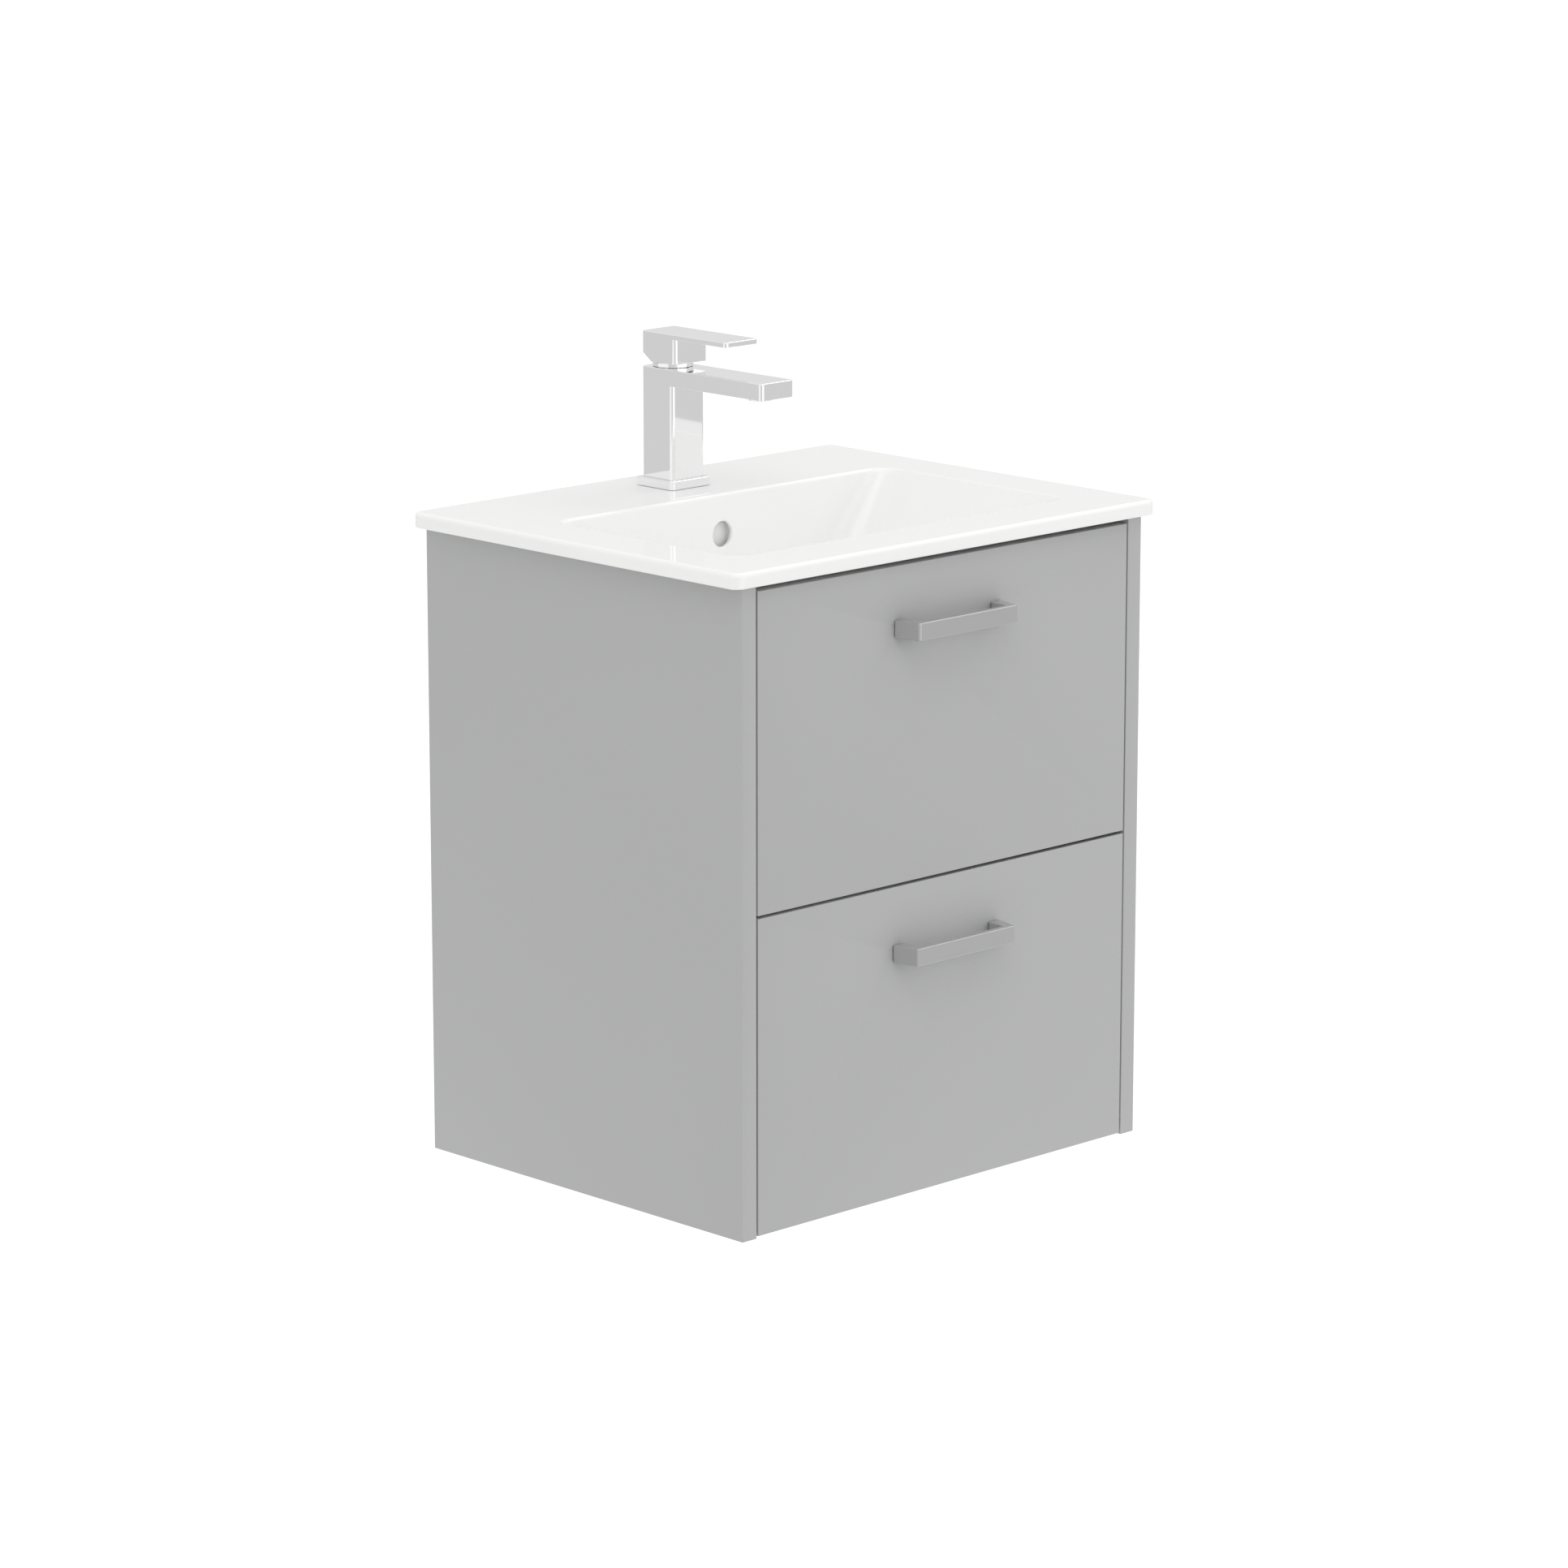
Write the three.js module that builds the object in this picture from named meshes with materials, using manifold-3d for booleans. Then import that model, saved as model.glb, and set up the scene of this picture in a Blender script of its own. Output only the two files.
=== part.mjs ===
// Wall-hung bathroom vanity: a two-drawer cabinet with a ceramic basin, a square
// mixer tap, a click-clack waste, ball-bearing drawer runners and a steel wall rail.
//
// Millimetres, +Z up, X across the width, and the front faces -Y. The wall is the
// plane Y = 0, and the origin is the centre of the wall rail's back face.

import * as THREE from "three";
import { mergeVertices } from "three/addons/utils/BufferGeometryUtils.js";
import Module from "manifold-3d";

const wasm = await Module();
wasm.setup();

// ---------------------------------------------------------------- driving dimensions

// Cabinet
const cabinetWidth = 530;
const cabinetHeight = 613;
const panelDepth = 432;
const board = 18;
const wallGap = 6;
const frontSideGap = 2;
const frontTopGap = 6;
const frontSplitGap = 3;
const frontBottomGap = 2;
const carcassSetback = 2;
const frontRailHeight = 44;
const frontRailDrop = 13;
const frontRailSetback = 4;
const backRailUpperHeight = 100;
const backRailUpperDrop = 18;
const backRailLowerHeight = 80;

// Wall rail and hanging brackets
const wallRailInset = 10;
const wallRailSteel = 2;
const wallRailFaceHeight = 34;
const wallRailLipHeight = 9;
const wallRailLipGap = 3;
const wallRailScrewRadius = 3;
const wallRailScrewInset = 40;
const bracketWidth = 40;
const bracketInset = 57;
const bracketSteel = 2.5;
const bracketHookSteel = 2;
const bracketLeg = 50;

// Drawer boxes and runners
const boxBoard = 12;
const boxBottomBoard = 8;
const boxBottomRise = 6;
const pipeSpace = 64;
const upperBoxRise = 18;
const lowerBoxRise = 28;
const lowerBoxDrop = 73;
const recessWidth = 160;
const recessAhead = 53;
const runnerThickness = 12.7;
const runnerHeight = 45;
const runnerRise = 45;
const runnerSteel = 1.2;
const runnerBallGap = 0.7;
const runnerSideGap = 1;
const runnerStagger = 3;
const fixedRunnerSetback = 5;

// Handles
const handleSpan = 142;
const handleBarLength = 130;
const handleProjection = 28;
const handleHeight = 17;
const handleBarThickness = 7;
const handleFootWidth = 14;
const handleInnerTaper = 1;
const handleHoleCentres = 128;
const upperHandleDrop = 58.8;
const lowerHandleDrop = 63.5;
const screwRadius = 2;
const screwHeadRadius = 4;
const screwHeadThickness = 2.5;
const screwReach = 9;

// Basin
const basinSideOverhang = 14;
const basinFrontOverhang = 8;
const rimThickness = 15;
const rimCorner = 10.5;
const rimTopRound = 4.5;
const rimBottomRound = 1.5;
const bowlSideMargin = 56.5;
const bowlFrontMargin = 59.5;
const bowlBackMargin = 131;
const bowlCorner = 24;
const bowlCornerGrowth = 0.3;
const bowlLip = 4;
const bowlDepth = 118;
const bowlWall = 9;
const bowlSideSlope = 34;
const bowlFrontSlope = 14;
const bowlBackSlope = 1;
const floorRound = 22;
const bossRadius = 40;
const bossBelowFloor = 30;
const overflowRadius = 12.5;
const overflowDrop = 39.7;
const overflowWeb = 4;
const channelWidth = 32;
const channelDepth = 6;
const ductHeight = 10;
const ductRoof = 12;
const housingWall = 8;
const wasteBehindMiddle = 18.75;

// Waste
const wasteFlangeRadius = 31.5;
const wasteFlangeThickness = 3;
const wasteTubeRadius = 21;
const wasteTubeWall = 3;
const wasteTubeLength = 80;
const wasteBoreClearance = 2;
const spiderDrop = 15;
const spiderThickness = 4;
const spiderHoleRadius = 4.5;
const plugRadius = 29.5;
const plugEdge = 1.6;
const plugDome = 3.6;
const plugStemRadius = 3.5;
const plugStemLength = 32;
const wasteWasherRadius = 36;
const wasteWasherThickness = 3;
const wasteNutRadius = 33;
const wasteNutThickness = 12;

// Tap, heights above the deck
const tapFromWall = 66;
const tapHoleRadius = 17.5;
const tapSide = 43;
const tapEdgeRound = 4.5;
const tapPlinthSide = 52;
const tapPlinthHeight = 8.7;
const tapPlinthBore = 17;
const tapBodyTop = 116.9;
const spoutThickness = 16.4;
const spoutLength = 166.8;
const aeratorRadius = 12;
const aeratorInset = 24;
const aeratorShow = 3.5;
const aeratorHeight = 11;
const aeratorWall = 2.5;
const waterwayRadius = 5.5;
const cartridgeRadius = 18;
const cartridgeHeight = 51;
const cartridgeBelowTop = 3.4;
const spindleRadius = 12.3;
const spindleSocketDepth = 15;
const spindleAboveCartridge = 1;
const pivotBelowTop = 10;
const collarRadius = 20;
const collarSkirtHeight = 3;
const domeWall = 1.7;
const domeMouthRadius = 13.5;
const leverRise = 5;
const leverBlockLength = 47;
const leverBlockHeight = 24.3;
const leverPlateLength = 118;
const leverPlateThickness = 5;
const leverChamferRun = 14;
const leverChamferRise = 9.8;
const leverStemSide = 8;
const leverStemBelowPivot = 5.4;
const tapSealRadius = 26;
const tapSealThickness = 3;
const clampPlateThickness = 2.5;
const studRadius = 4;
const studSetback = 12;
const studLength = 84;
const studInBody = 14;
const clampNutFlats = 13;
const clampNutLength = 12;
const tailPortRadius = 4.5;
const tailPortOffset = 8;

// Clearances
const seatGap = 0.3;
const screwClearance = 0.4;
const threadClearance = 0.4;
const slotClearance = 0.3;
const boxUnderBasin = 12;

// Facets round a full circle, and steps round a rounded corner
const roundSteps = 28;
const smallRoundSteps = 14;
const cornerSteps = 6;

// ---------------------------------------------------------------- derived places

const innerHalf = cabinetWidth / 2 - board;
const cabinetFront = -(wallGap + panelDepth);
const frontWidth = 2 * (innerHalf - frontSideGap);
const frontHeight = (cabinetHeight - frontTopGap - frontSplitGap - frontBottomGap) / 2;
const lowerFrontBase = frontBottomGap;
const upperFrontBase = frontBottomGap + frontHeight + frontSplitGap;
const basinWidth = cabinetWidth + 2 * basinSideOverhang;
const basinDepth = wallGap + panelDepth + basinFrontOverhang;
const deckHeight = cabinetHeight + rimThickness;
const bowlBack = -bowlBackMargin;
const bowlFront = -(basinDepth - bowlFrontMargin);
const bowlHalf = basinWidth / 2 - bowlSideMargin;
const wasteY = (bowlBack + bowlFront) / 2 + wasteBehindMiddle;
const bossDepth = bowlDepth + bossBelowFloor;
const seatDepth = bowlDepth + wasteFlangeThickness;
const boxDepth = panelDepth - board - pipeSpace;
const boxHalf = innerHalf - runnerThickness;
const upperBoxHeight = deckHeight - bossDepth - boxUnderBasin - upperFrontBase - upperBoxRise;
const lowerBoxHeight = frontHeight - lowerBoxDrop - lowerBoxRise;
const wallRailLipTop = cabinetHeight - backRailUpperDrop;
const wallRailFaceTop = wallRailLipTop - wallRailLipHeight;
const wallRailCentre = wallRailFaceTop - wallRailFaceHeight / 2;

// ---------------------------------------------------------------- materials

const finishes = {
  greyBoard: { color: 0xb4b4b5, roughness: 0.55, metalness: 0 },
  boxBoard: { color: 0xd9d9d8, roughness: 0.6, metalness: 0 },
  ceramic: { color: 0xf2f2f0, roughness: 0.08, metalness: 0 },
  chrome: { color: 0xd4d6d8, roughness: 0.05, metalness: 1 },
  satinChrome: { color: 0xa9abad, roughness: 0.3, metalness: 1 },
  zincSteel: { color: 0xb9bdc2, roughness: 0.4, metalness: 1 },
  blackRubber: { color: 0x1c1c1e, roughness: 0.8, metalness: 0 },
  whitePlastic: { color: 0xe6e6e2, roughness: 0.45, metalness: 0 },
  brass: { color: 0xc8a25a, roughness: 0.35, metalness: 1 },
};

function part(name, geometry, finish) {
  const mesh = new THREE.Mesh(geometry, new THREE.MeshStandardMaterial(finishes[finish]));
  mesh.name = name;
  return mesh;
}

function groupAt(x, y, z, ...children) {
  const group = new THREE.Group();
  group.position.set(x, y, z);
  group.add(...children);
  return group;
}

// ---------------------------------------------------------------- shape tools

// A board or bar between two corners.
function block(x0, x1, y0, y1, z0, z1) {
  const box = new THREE.BoxGeometry(x1 - x0, y1 - y0, z1 - z0);
  return box.translate((x0 + x1) / 2, (y0 + y1) / 2, (z0 + z1) / 2);
}

function outline(points) {
  return new THREE.Shape(points.map(([x, y]) => new THREE.Vector2(x, y)));
}

function extrude(shape, depth, curveSegments = cornerSteps) {
  return new THREE.ExtrudeGeometry(shape, { depth, bevelEnabled: false, curveSegments });
}

// A section in (Y, Z) carried along X.
function alongX(shape, x0, x1) {
  const turn = new THREE.Matrix4().makeBasis(
    new THREE.Vector3(0, 1, 0),
    new THREE.Vector3(0, 0, 1),
    new THREE.Vector3(1, 0, 0),
  );
  return extrude(shape, x1 - x0).applyMatrix4(turn).translate(x0, 0, 0);
}

// A section in (X, Z) carried along Y.
function alongY(shape, y0, y1) {
  return extrude(shape, y1 - y0).rotateX(Math.PI / 2).translate(0, y1, 0);
}

// A section in (X, Y) carried along Z.
function alongZ(shape, z0, z1, curveSegments) {
  return extrude(shape, z1 - z0, curveSegments).translate(0, 0, z0);
}

// A turned piece about the Z axis; its profile is (radius, height), up the outside.
function turned(profile, steps = roundSteps) {
  const points = profile.map(([r, z]) => new THREE.Vector2(r, z));
  return new THREE.LatheGeometry(points, steps).rotateX(Math.PI / 2);
}

function rod(radius, z0, z1, steps = roundSteps) {
  return turned([[0, z0], [radius, z0], [radius, z1], [0, z1]], steps);
}

function ring(inner, outer, z0, z1) {
  return turned([[inner, z0], [outer, z0], [outer, z1], [inner, z1], [inner, z0]]);
}

function rodAlongY(radius, y0, y1, steps = roundSteps) {
  return rod(radius, -y1, -y0, steps).rotateX(Math.PI / 2);
}

// Outline of a rectangle with round corners.
function roundedRectangle(x0, x1, y0, y1, radius) {
  const shape = new THREE.Shape();
  shape.absarc(x1 - radius, y1 - radius, radius, 0, Math.PI / 2);
  shape.absarc(x0 + radius, y1 - radius, radius, Math.PI / 2, Math.PI);
  shape.absarc(x0 + radius, y0 + radius, radius, Math.PI, 1.5 * Math.PI);
  shape.absarc(x1 - radius, y0 + radius, radius, 1.5 * Math.PI, 2 * Math.PI);
  return shape;
}

function hexagon(acrossFlats, holeRadius) {
  const corner = acrossFlats / Math.sqrt(3);
  const shape = outline([0, 1, 2, 3, 4, 5].map((k) => {
    const angle = (k * Math.PI) / 3;
    return [corner * Math.cos(angle), corner * Math.sin(angle)];
  }));
  shape.holes.push(new THREE.Path().absarc(0, 0, holeRadius, 0, 2 * Math.PI));
  return shape;
}

// One level of a lofted form: a rectangle with round corners, anticlockwise.
function rectangleLevel(half, front, back, radius, z) {
  const centres = [
    [half - radius, back - radius],
    [radius - half, back - radius],
    [radius - half, front + radius],
    [half - radius, front + radius],
  ];
  return centres.flatMap(([cx, cy], corner) =>
    Array.from({ length: cornerSteps + 1 }, (_, step) => {
      const angle = ((corner + step / cornerSteps) * Math.PI) / 2;
      return [cx + radius * Math.cos(angle), cy + radius * Math.sin(angle), z];
    }));
}

// One level of a lofted form: a circle with as many points as a rectangle level.
function circleLevel(cy, radius, z) {
  const count = 4 * (cornerSteps + 1);
  return Array.from({ length: count }, (_, i) => {
    const angle = ((i + 0.5) / count) * 2 * Math.PI;
    return [radius * Math.cos(angle), cy + radius * Math.sin(angle), z];
  });
}

// A closed solid through a stack of levels, lowest first.
function loft(levels) {
  const count = levels[0].length;
  const index = [];
  for (let level = 0; level + 1 < levels.length; level += 1) {
    for (let i = 0; i < count; i += 1) {
      const next = (i + 1) % count;
      const low = level * count;
      const high = low + count;
      index.push(low + i, low + next, high + next, low + i, high + next, high + i);
    }
  }
  const top = (levels.length - 1) * count;
  for (let i = 1; i + 1 < count; i += 1) {
    index.push(0, i + 1, i, top, top + i, top + i + 1);
  }
  const geometry = new THREE.BufferGeometry();
  geometry.setAttribute("position", new THREE.Float32BufferAttribute(levels.flat(2), 3));
  geometry.setIndex(index);
  return geometry;
}

// Joins and cuts.
function toSolid(geometry) {
  const bare = geometry.clone();
  bare.deleteAttribute("normal");
  bare.deleteAttribute("uv");
  const merged = mergeVertices(bare);
  const corners = merged.index.array;
  const triVerts = [];
  for (let i = 0; i < corners.length; i += 3) {
    const [a, b, c] = [corners[i], corners[i + 1], corners[i + 2]];
    if (a !== b && b !== c && c !== a) triVerts.push(a, b, c);
  }
  return new wasm.Manifold(new wasm.Mesh({
    numProp: 3,
    vertProperties: new Float32Array(merged.attributes.position.array),
    triVerts: new Uint32Array(triVerts),
  }));
}

function toGeometry(solid) {
  const mesh = solid.getMesh();
  const geometry = new THREE.BufferGeometry();
  geometry.setAttribute("position", new THREE.BufferAttribute(mesh.vertProperties, 3));
  geometry.setIndex(new THREE.BufferAttribute(mesh.triVerts, 1));
  return geometry;
}

function cut(body, ...tools) {
  return toGeometry(tools.reduce((left, tool) => left.subtract(toSolid(tool)), toSolid(body)));
}

function join(...pieces) {
  return toGeometry(pieces.map(toSolid).reduce((all, piece) => all.add(piece)));
}

function common(a, b) {
  return toGeometry(toSolid(a).intersect(toSolid(b)));
}

function mirrored(build) {
  return [["left", -1], ["right", 1]].map(([side, sign]) => build(side, sign));
}

// A block whose X span is given as distances out from the middle on one side.
function sideBlock(sign, inner, outer, y0, y1, z0, z1) {
  return block(Math.min(sign * inner, sign * outer), Math.max(sign * inner, sign * outer), y0, y1, z0, z1);
}

// ---------------------------------------------------------------- carcass boards

function carcassBoards() {
  const back = -wallGap;
  const sides = mirrored((side, sign) =>
    part(`side_panel_${side}`,
      sideBlock(sign, innerHalf, innerHalf + board, cabinetFront, back, 0, cabinetHeight), "greyBoard"));
  const behindFronts = cabinetFront + board + carcassSetback;
  const bottom = block(-innerHalf, innerHalf, behindFronts, back, 0, board);
  const railFront = cabinetFront + board + frontRailSetback;
  const railTop = cabinetHeight - frontRailDrop;
  const frontRail = block(-innerHalf, innerHalf, railFront, railFront + board,
    railTop - frontRailHeight, railTop);
  const upperTop = cabinetHeight - backRailUpperDrop;
  const upperRail = block(-innerHalf, innerHalf, back - board, back,
    upperTop - backRailUpperHeight, upperTop);
  const lowerRail = block(-innerHalf, innerHalf, back - board, back, board, board + backRailLowerHeight);
  return [
    ...sides,
    part("bottom_panel", bottom, "greyBoard"),
    part("front_rail", frontRail, "greyBoard"),
    part("back_rail_upper", upperRail, "greyBoard"),
    part("back_rail_lower", lowerRail, "greyBoard"),
  ];
}

// ---------------------------------------------------------------- wall rail and brackets

// A steel strip screwed to the wall, with its top lip joggled forward for the hooks.
function wallRail() {
  const lipFront = -(wallRailLipGap + wallRailSteel);
  const section = outline([
    [0, wallRailFaceTop - wallRailFaceHeight],
    [0, wallRailFaceTop],
    [-wallRailLipGap, wallRailFaceTop],
    [-wallRailLipGap, wallRailLipTop],
    [lipFront, wallRailLipTop],
    [lipFront, wallRailFaceTop - wallRailSteel],
    [-wallRailSteel, wallRailFaceTop - wallRailSteel],
    [-wallRailSteel, wallRailFaceTop - wallRailFaceHeight],
  ]);
  const half = innerHalf - wallRailInset;
  const holes = [-1, 1].map((sign) =>
    rodAlongY(wallRailScrewRadius, -2 * wallRailSteel, wallRailSteel, smallRoundSteps)
      .translate(sign * (half - wallRailScrewInset), 0, wallRailCentre));
  return part("wall_rail", cut(alongX(section, -half, half), ...holes), "zincSteel");
}

// A steel hook over the upper back rail, which hangs behind the wall rail's lip.
function hangingBrackets() {
  const hookBack = -(wallRailLipGap - bracketHookSteel) / 2;
  const hookFront = hookBack - bracketHookSteel;
  const bridgeLow = wallRailLipTop + seatGap;
  const bridgeTop = bridgeLow + bracketSteel;
  const legBack = -(wallGap + board + seatGap);
  const legFront = legBack - bracketSteel;
  const section = outline([
    [hookBack, wallRailFaceTop + seatGap],
    [hookBack, bridgeTop],
    [legFront, bridgeTop],
    [legFront, bridgeTop - bracketLeg],
    [legBack, bridgeTop - bracketLeg],
    [legBack, bridgeLow],
    [hookFront, bridgeLow],
    [hookFront, wallRailFaceTop + seatGap],
  ]);
  const outer = innerHalf - bracketInset;
  return mirrored((side, sign) => {
    const middle = sign * (outer - bracketWidth / 2);
    const hook = alongX(section, middle - bracketWidth / 2, middle + bracketWidth / 2);
    return part(`hanging_bracket_${side}`, hook, "zincSteel");
  });
}

// ---------------------------------------------------------------- drawer runners

// A channel section: a web and two flanges, from webX towards reachX.
function channelSection(webX, reachX, halfHeight) {
  const step = Math.sign(reachX - webX) * runnerSteel;
  const inside = halfHeight - runnerSteel;
  return outline([
    [webX, -halfHeight],
    [reachX, -halfHeight],
    [reachX, -inside],
    [webX + step, -inside],
    [webX + step, inside],
    [reachX, inside],
    [reachX, halfHeight],
    [webX, halfHeight],
  ]);
}

// Three nested channels on each side: cabinet member, middle member, drawer member.
const fixedHalf = runnerHeight / 2;
const middleHalf = fixedHalf - runnerSteel - runnerBallGap;
const drawerHalf = middleHalf - runnerSteel - runnerBallGap;
const flangeEnd = innerHalf - (runnerThickness - runnerSteel - runnerSideGap);
const middleWeb = innerHalf - runnerSteel - runnerSideGap;
const drawerFlangeEnd = middleWeb - runnerSteel - runnerBallGap;
const runnerFront = cabinetFront + board + fixedRunnerSetback;

function runnerMember(name, sign, webX, reachX, halfHeight, y0, y1, z) {
  const channel = alongY(channelSection(sign * webX, sign * reachX, halfHeight), y0, y1);
  return part(name, channel.translate(0, 0, z), "zincSteel");
}

function fixedRunners(drawer, z) {
  const back = runnerFront + boxDepth;
  return mirrored((side, sign) => runnerMember(`${drawer}_runner_fixed_${side}`, sign,
    innerHalf, flangeEnd, fixedHalf, runnerFront, back, z));
}

function middleRunners(drawer, z) {
  const front = runnerFront + runnerStagger;
  const back = runnerFront + boxDepth - runnerStagger;
  return mirrored((side, sign) => runnerMember(`${drawer}_runner_middle_${side}`, sign,
    middleWeb, flangeEnd, middleHalf, front, back, z));
}

// In the drawer's own frame, where Y = 0 is the front's face.
function drawerRunners(drawer, z) {
  return mirrored((side, sign) => runnerMember(`${drawer}_runner_drawer_${side}`, sign,
    boxHalf, drawerFlangeEnd, drawerHalf, board, board + boxDepth, z));
}

// ---------------------------------------------------------------- drawers

// A board front with two holes for the handle's screws, in the drawer's own frame.
function drawerFront(handleZ) {
  const face = outline([
    [-frontWidth / 2, 0],
    [frontWidth / 2, 0],
    [frontWidth / 2, frontHeight],
    [-frontWidth / 2, frontHeight],
  ]);
  for (const sign of [-1, 1]) {
    const hole = new THREE.Path();
    hole.absarc((sign * handleHoleCentres) / 2, handleZ, screwRadius + screwClearance, 0, 2 * Math.PI);
    face.holes.push(hole);
  }
  return alongY(face, 0, board);
}

// A bar handle whose returns lean in, with a blind screw hole in each foot.
function handleBar() {
  const foot = handleSpan / 2;
  const corner = handleBarLength / 2;
  const inner = foot - handleFootWidth;
  const barBack = handleBarThickness - handleProjection;
  const plan = outline([
    [-foot, 0],
    [-corner, -handleProjection],
    [corner, -handleProjection],
    [foot, 0],
    [inner, 0],
    [inner - handleInnerTaper, barBack],
    [handleInnerTaper - inner, barBack],
    [-inner, 0],
  ]);
  const holes = [-1, 1].map((sign) =>
    rodAlongY(screwRadius + screwClearance, -(screwReach + seatGap), 1, smallRoundSteps)
      .translate((sign * handleHoleCentres) / 2, 0, 0));
  return cut(alongZ(plan, -handleHeight / 2, handleHeight / 2), ...holes);
}

// A pan-head screw from inside the drawer, through the front and into the handle.
function handleScrew() {
  const headBack = board + seatGap + screwHeadThickness;
  const headFront = board + seatGap;
  const profile = [
    [0, -headBack],
    [screwHeadRadius * 0.6, -headBack],
    [screwHeadRadius, -headBack + screwHeadThickness / 2],
    [screwHeadRadius, -headFront],
    [screwRadius, -headFront],
    [screwRadius, screwReach],
    [0, screwReach],
  ];
  return turned(profile, smallRoundSteps).rotateX(Math.PI / 2);
}

function frontAndHandle(drawer, handleDrop) {
  const handleZ = frontHeight - handleDrop;
  const screws = mirrored((side, sign) => {
    const screw = part(`${drawer}_handle_screw_${side}`, handleScrew(), "zincSteel");
    screw.position.x = (sign * handleHoleCentres) / 2;
    return screw;
  });
  const handle = part(`${drawer}_handle`, handleBar(), "satinChrome");
  return [
    part(`${drawer}_drawer_front`, drawerFront(handleZ), "greyBoard"),
    groupAt(0, -seatGap, handleZ, handle),
    groupAt(0, 0, handleZ, ...screws),
  ];
}

function boxSides(drawer, rise, height) {
  return mirrored((side, sign) => part(`${drawer}_drawer_side_${side}`,
    sideBlock(sign, boxHalf - boxBoard, boxHalf, board, board + boxDepth, rise, rise + height),
    "boxBoard"));
}

// The upper drawer's box goes round the waste: its recess is open at the back.
function upperDrawer() {
  const inside = boxHalf - boxBoard;
  const back = board + boxDepth;
  const low = upperBoxRise;
  const high = low + upperBoxHeight;
  const recessHalf = recessWidth / 2;
  const recessFront = wasteY - recessAhead - cabinetFront;
  const cheek = recessHalf + boxBoard;
  const floorLow = low + boxBottomRise;
  const floorHigh = floorLow + boxBottomBoard;
  const backs = mirrored((side, sign) => part(`upper_drawer_back_${side}`,
    sideBlock(sign, cheek, inside, back - boxBoard, back, floorHigh, high), "boxBoard"));
  const cheeks = mirrored((side, sign) => part(`upper_drawer_recess_${side}`,
    sideBlock(sign, recessHalf, cheek, recessFront, back, floorHigh, high), "boxBoard"));
  const crossPiece = block(-cheek, cheek, recessFront - boxBoard, recessFront, floorHigh, high);
  const floor = outline([
    [-inside, board],
    [inside, board],
    [inside, back],
    [recessHalf, back],
    [recessHalf, recessFront],
    [-recessHalf, recessFront],
    [-recessHalf, back],
    [-inside, back],
  ]);
  return groupAt(0, cabinetFront, upperFrontBase,
    ...frontAndHandle("upper", upperHandleDrop),
    ...boxSides("upper", low, upperBoxHeight),
    ...backs,
    ...cheeks,
    part("upper_drawer_recess_front", crossPiece, "boxBoard"),
    part("upper_drawer_bottom", alongZ(floor, floorLow, floorHigh), "boxBoard"),
    ...drawerRunners("upper", low + runnerRise));
}

function lowerDrawer() {
  const inside = boxHalf - boxBoard;
  const back = board + boxDepth;
  const low = lowerBoxRise;
  const floorHigh = low + boxBottomRise + boxBottomBoard;
  const backBoard = block(-inside, inside, back - boxBoard, back, floorHigh, low + lowerBoxHeight);
  const floor = block(-inside, inside, board, back, low + boxBottomRise, floorHigh);
  return groupAt(0, cabinetFront, lowerFrontBase,
    ...frontAndHandle("lower", lowerHandleDrop),
    ...boxSides("lower", low, lowerBoxHeight),
    part("lower_drawer_back", backBoard, "boxBoard"),
    part("lower_drawer_bottom", floor, "boxBoard"),
    ...drawerRunners("lower", low + runnerRise));
}

// ---------------------------------------------------------------- basin

// How far the bowl's wall has come in at a depth, for a wall that leans by slope.
function wallInset(depth, slope) {
  return bowlLip + (depth - bowlLip) * Math.tan(THREE.MathUtils.degToRad(slope));
}

function bowlLevel(depth, extra, wall, drop) {
  const side = wallInset(depth, bowlSideSlope) + extra - wall;
  const front = wallInset(depth, bowlFrontSlope) + extra - wall;
  const back = wallInset(depth, bowlBackSlope) + extra - wall;
  const radius = bowlCorner + depth * bowlCornerGrowth;
  return rectangleLevel(bowlHalf - side, bowlFront + front, bowlBack - back, radius, -depth - drop);
}

// The floor's rounding: how far in and how far down at an angle round it.
function floorLevel(degrees, wall, drop) {
  const angle = THREE.MathUtils.degToRad(degrees);
  const start = bowlDepth - floorRound * 0.6;
  const depth = start + floorRound * 0.5 * Math.sin(angle);
  return bowlLevel(depth, floorRound * (1 - Math.cos(angle)), wall, drop);
}

// The hollow of the bowl, from the round waste seat up through the deck.
function bowlHollow() {
  const lip = [90, 60, 30, 0].map((degrees) => {
    const angle = THREE.MathUtils.degToRad(degrees);
    const inset = bowlLip * Math.sin(angle);
    const depth = bowlLip * (1 - Math.cos(angle));
    return rectangleLevel(bowlHalf - inset, bowlFront + inset, bowlBack - inset, bowlCorner, -depth);
  });
  const above = rectangleLevel(bowlHalf, bowlFront, bowlBack, bowlCorner, 1);
  return loft([
    circleLevel(wasteY, wasteFlangeRadius + 2 * seatGap, -bowlDepth),
    ...[90, 60, 30, 0].map((degrees) => floorLevel(degrees, 0, 0)),
    ...lip,
    above,
  ]);
}

// The underside of the bowl, a wall's thickness outside the hollow.
function bowlShell() {
  return loft([
    circleLevel(wasteY, bossRadius, -bowlDepth - bowlWall),
    ...[90, 60, 30, 0].map((degrees) => floorLevel(degrees, bowlWall, bowlWall * Math.sin(degrees / 57.3))),
    bowlLevel(bowlLip, 0, bowlWall, 0),
  ]);
}

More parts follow.
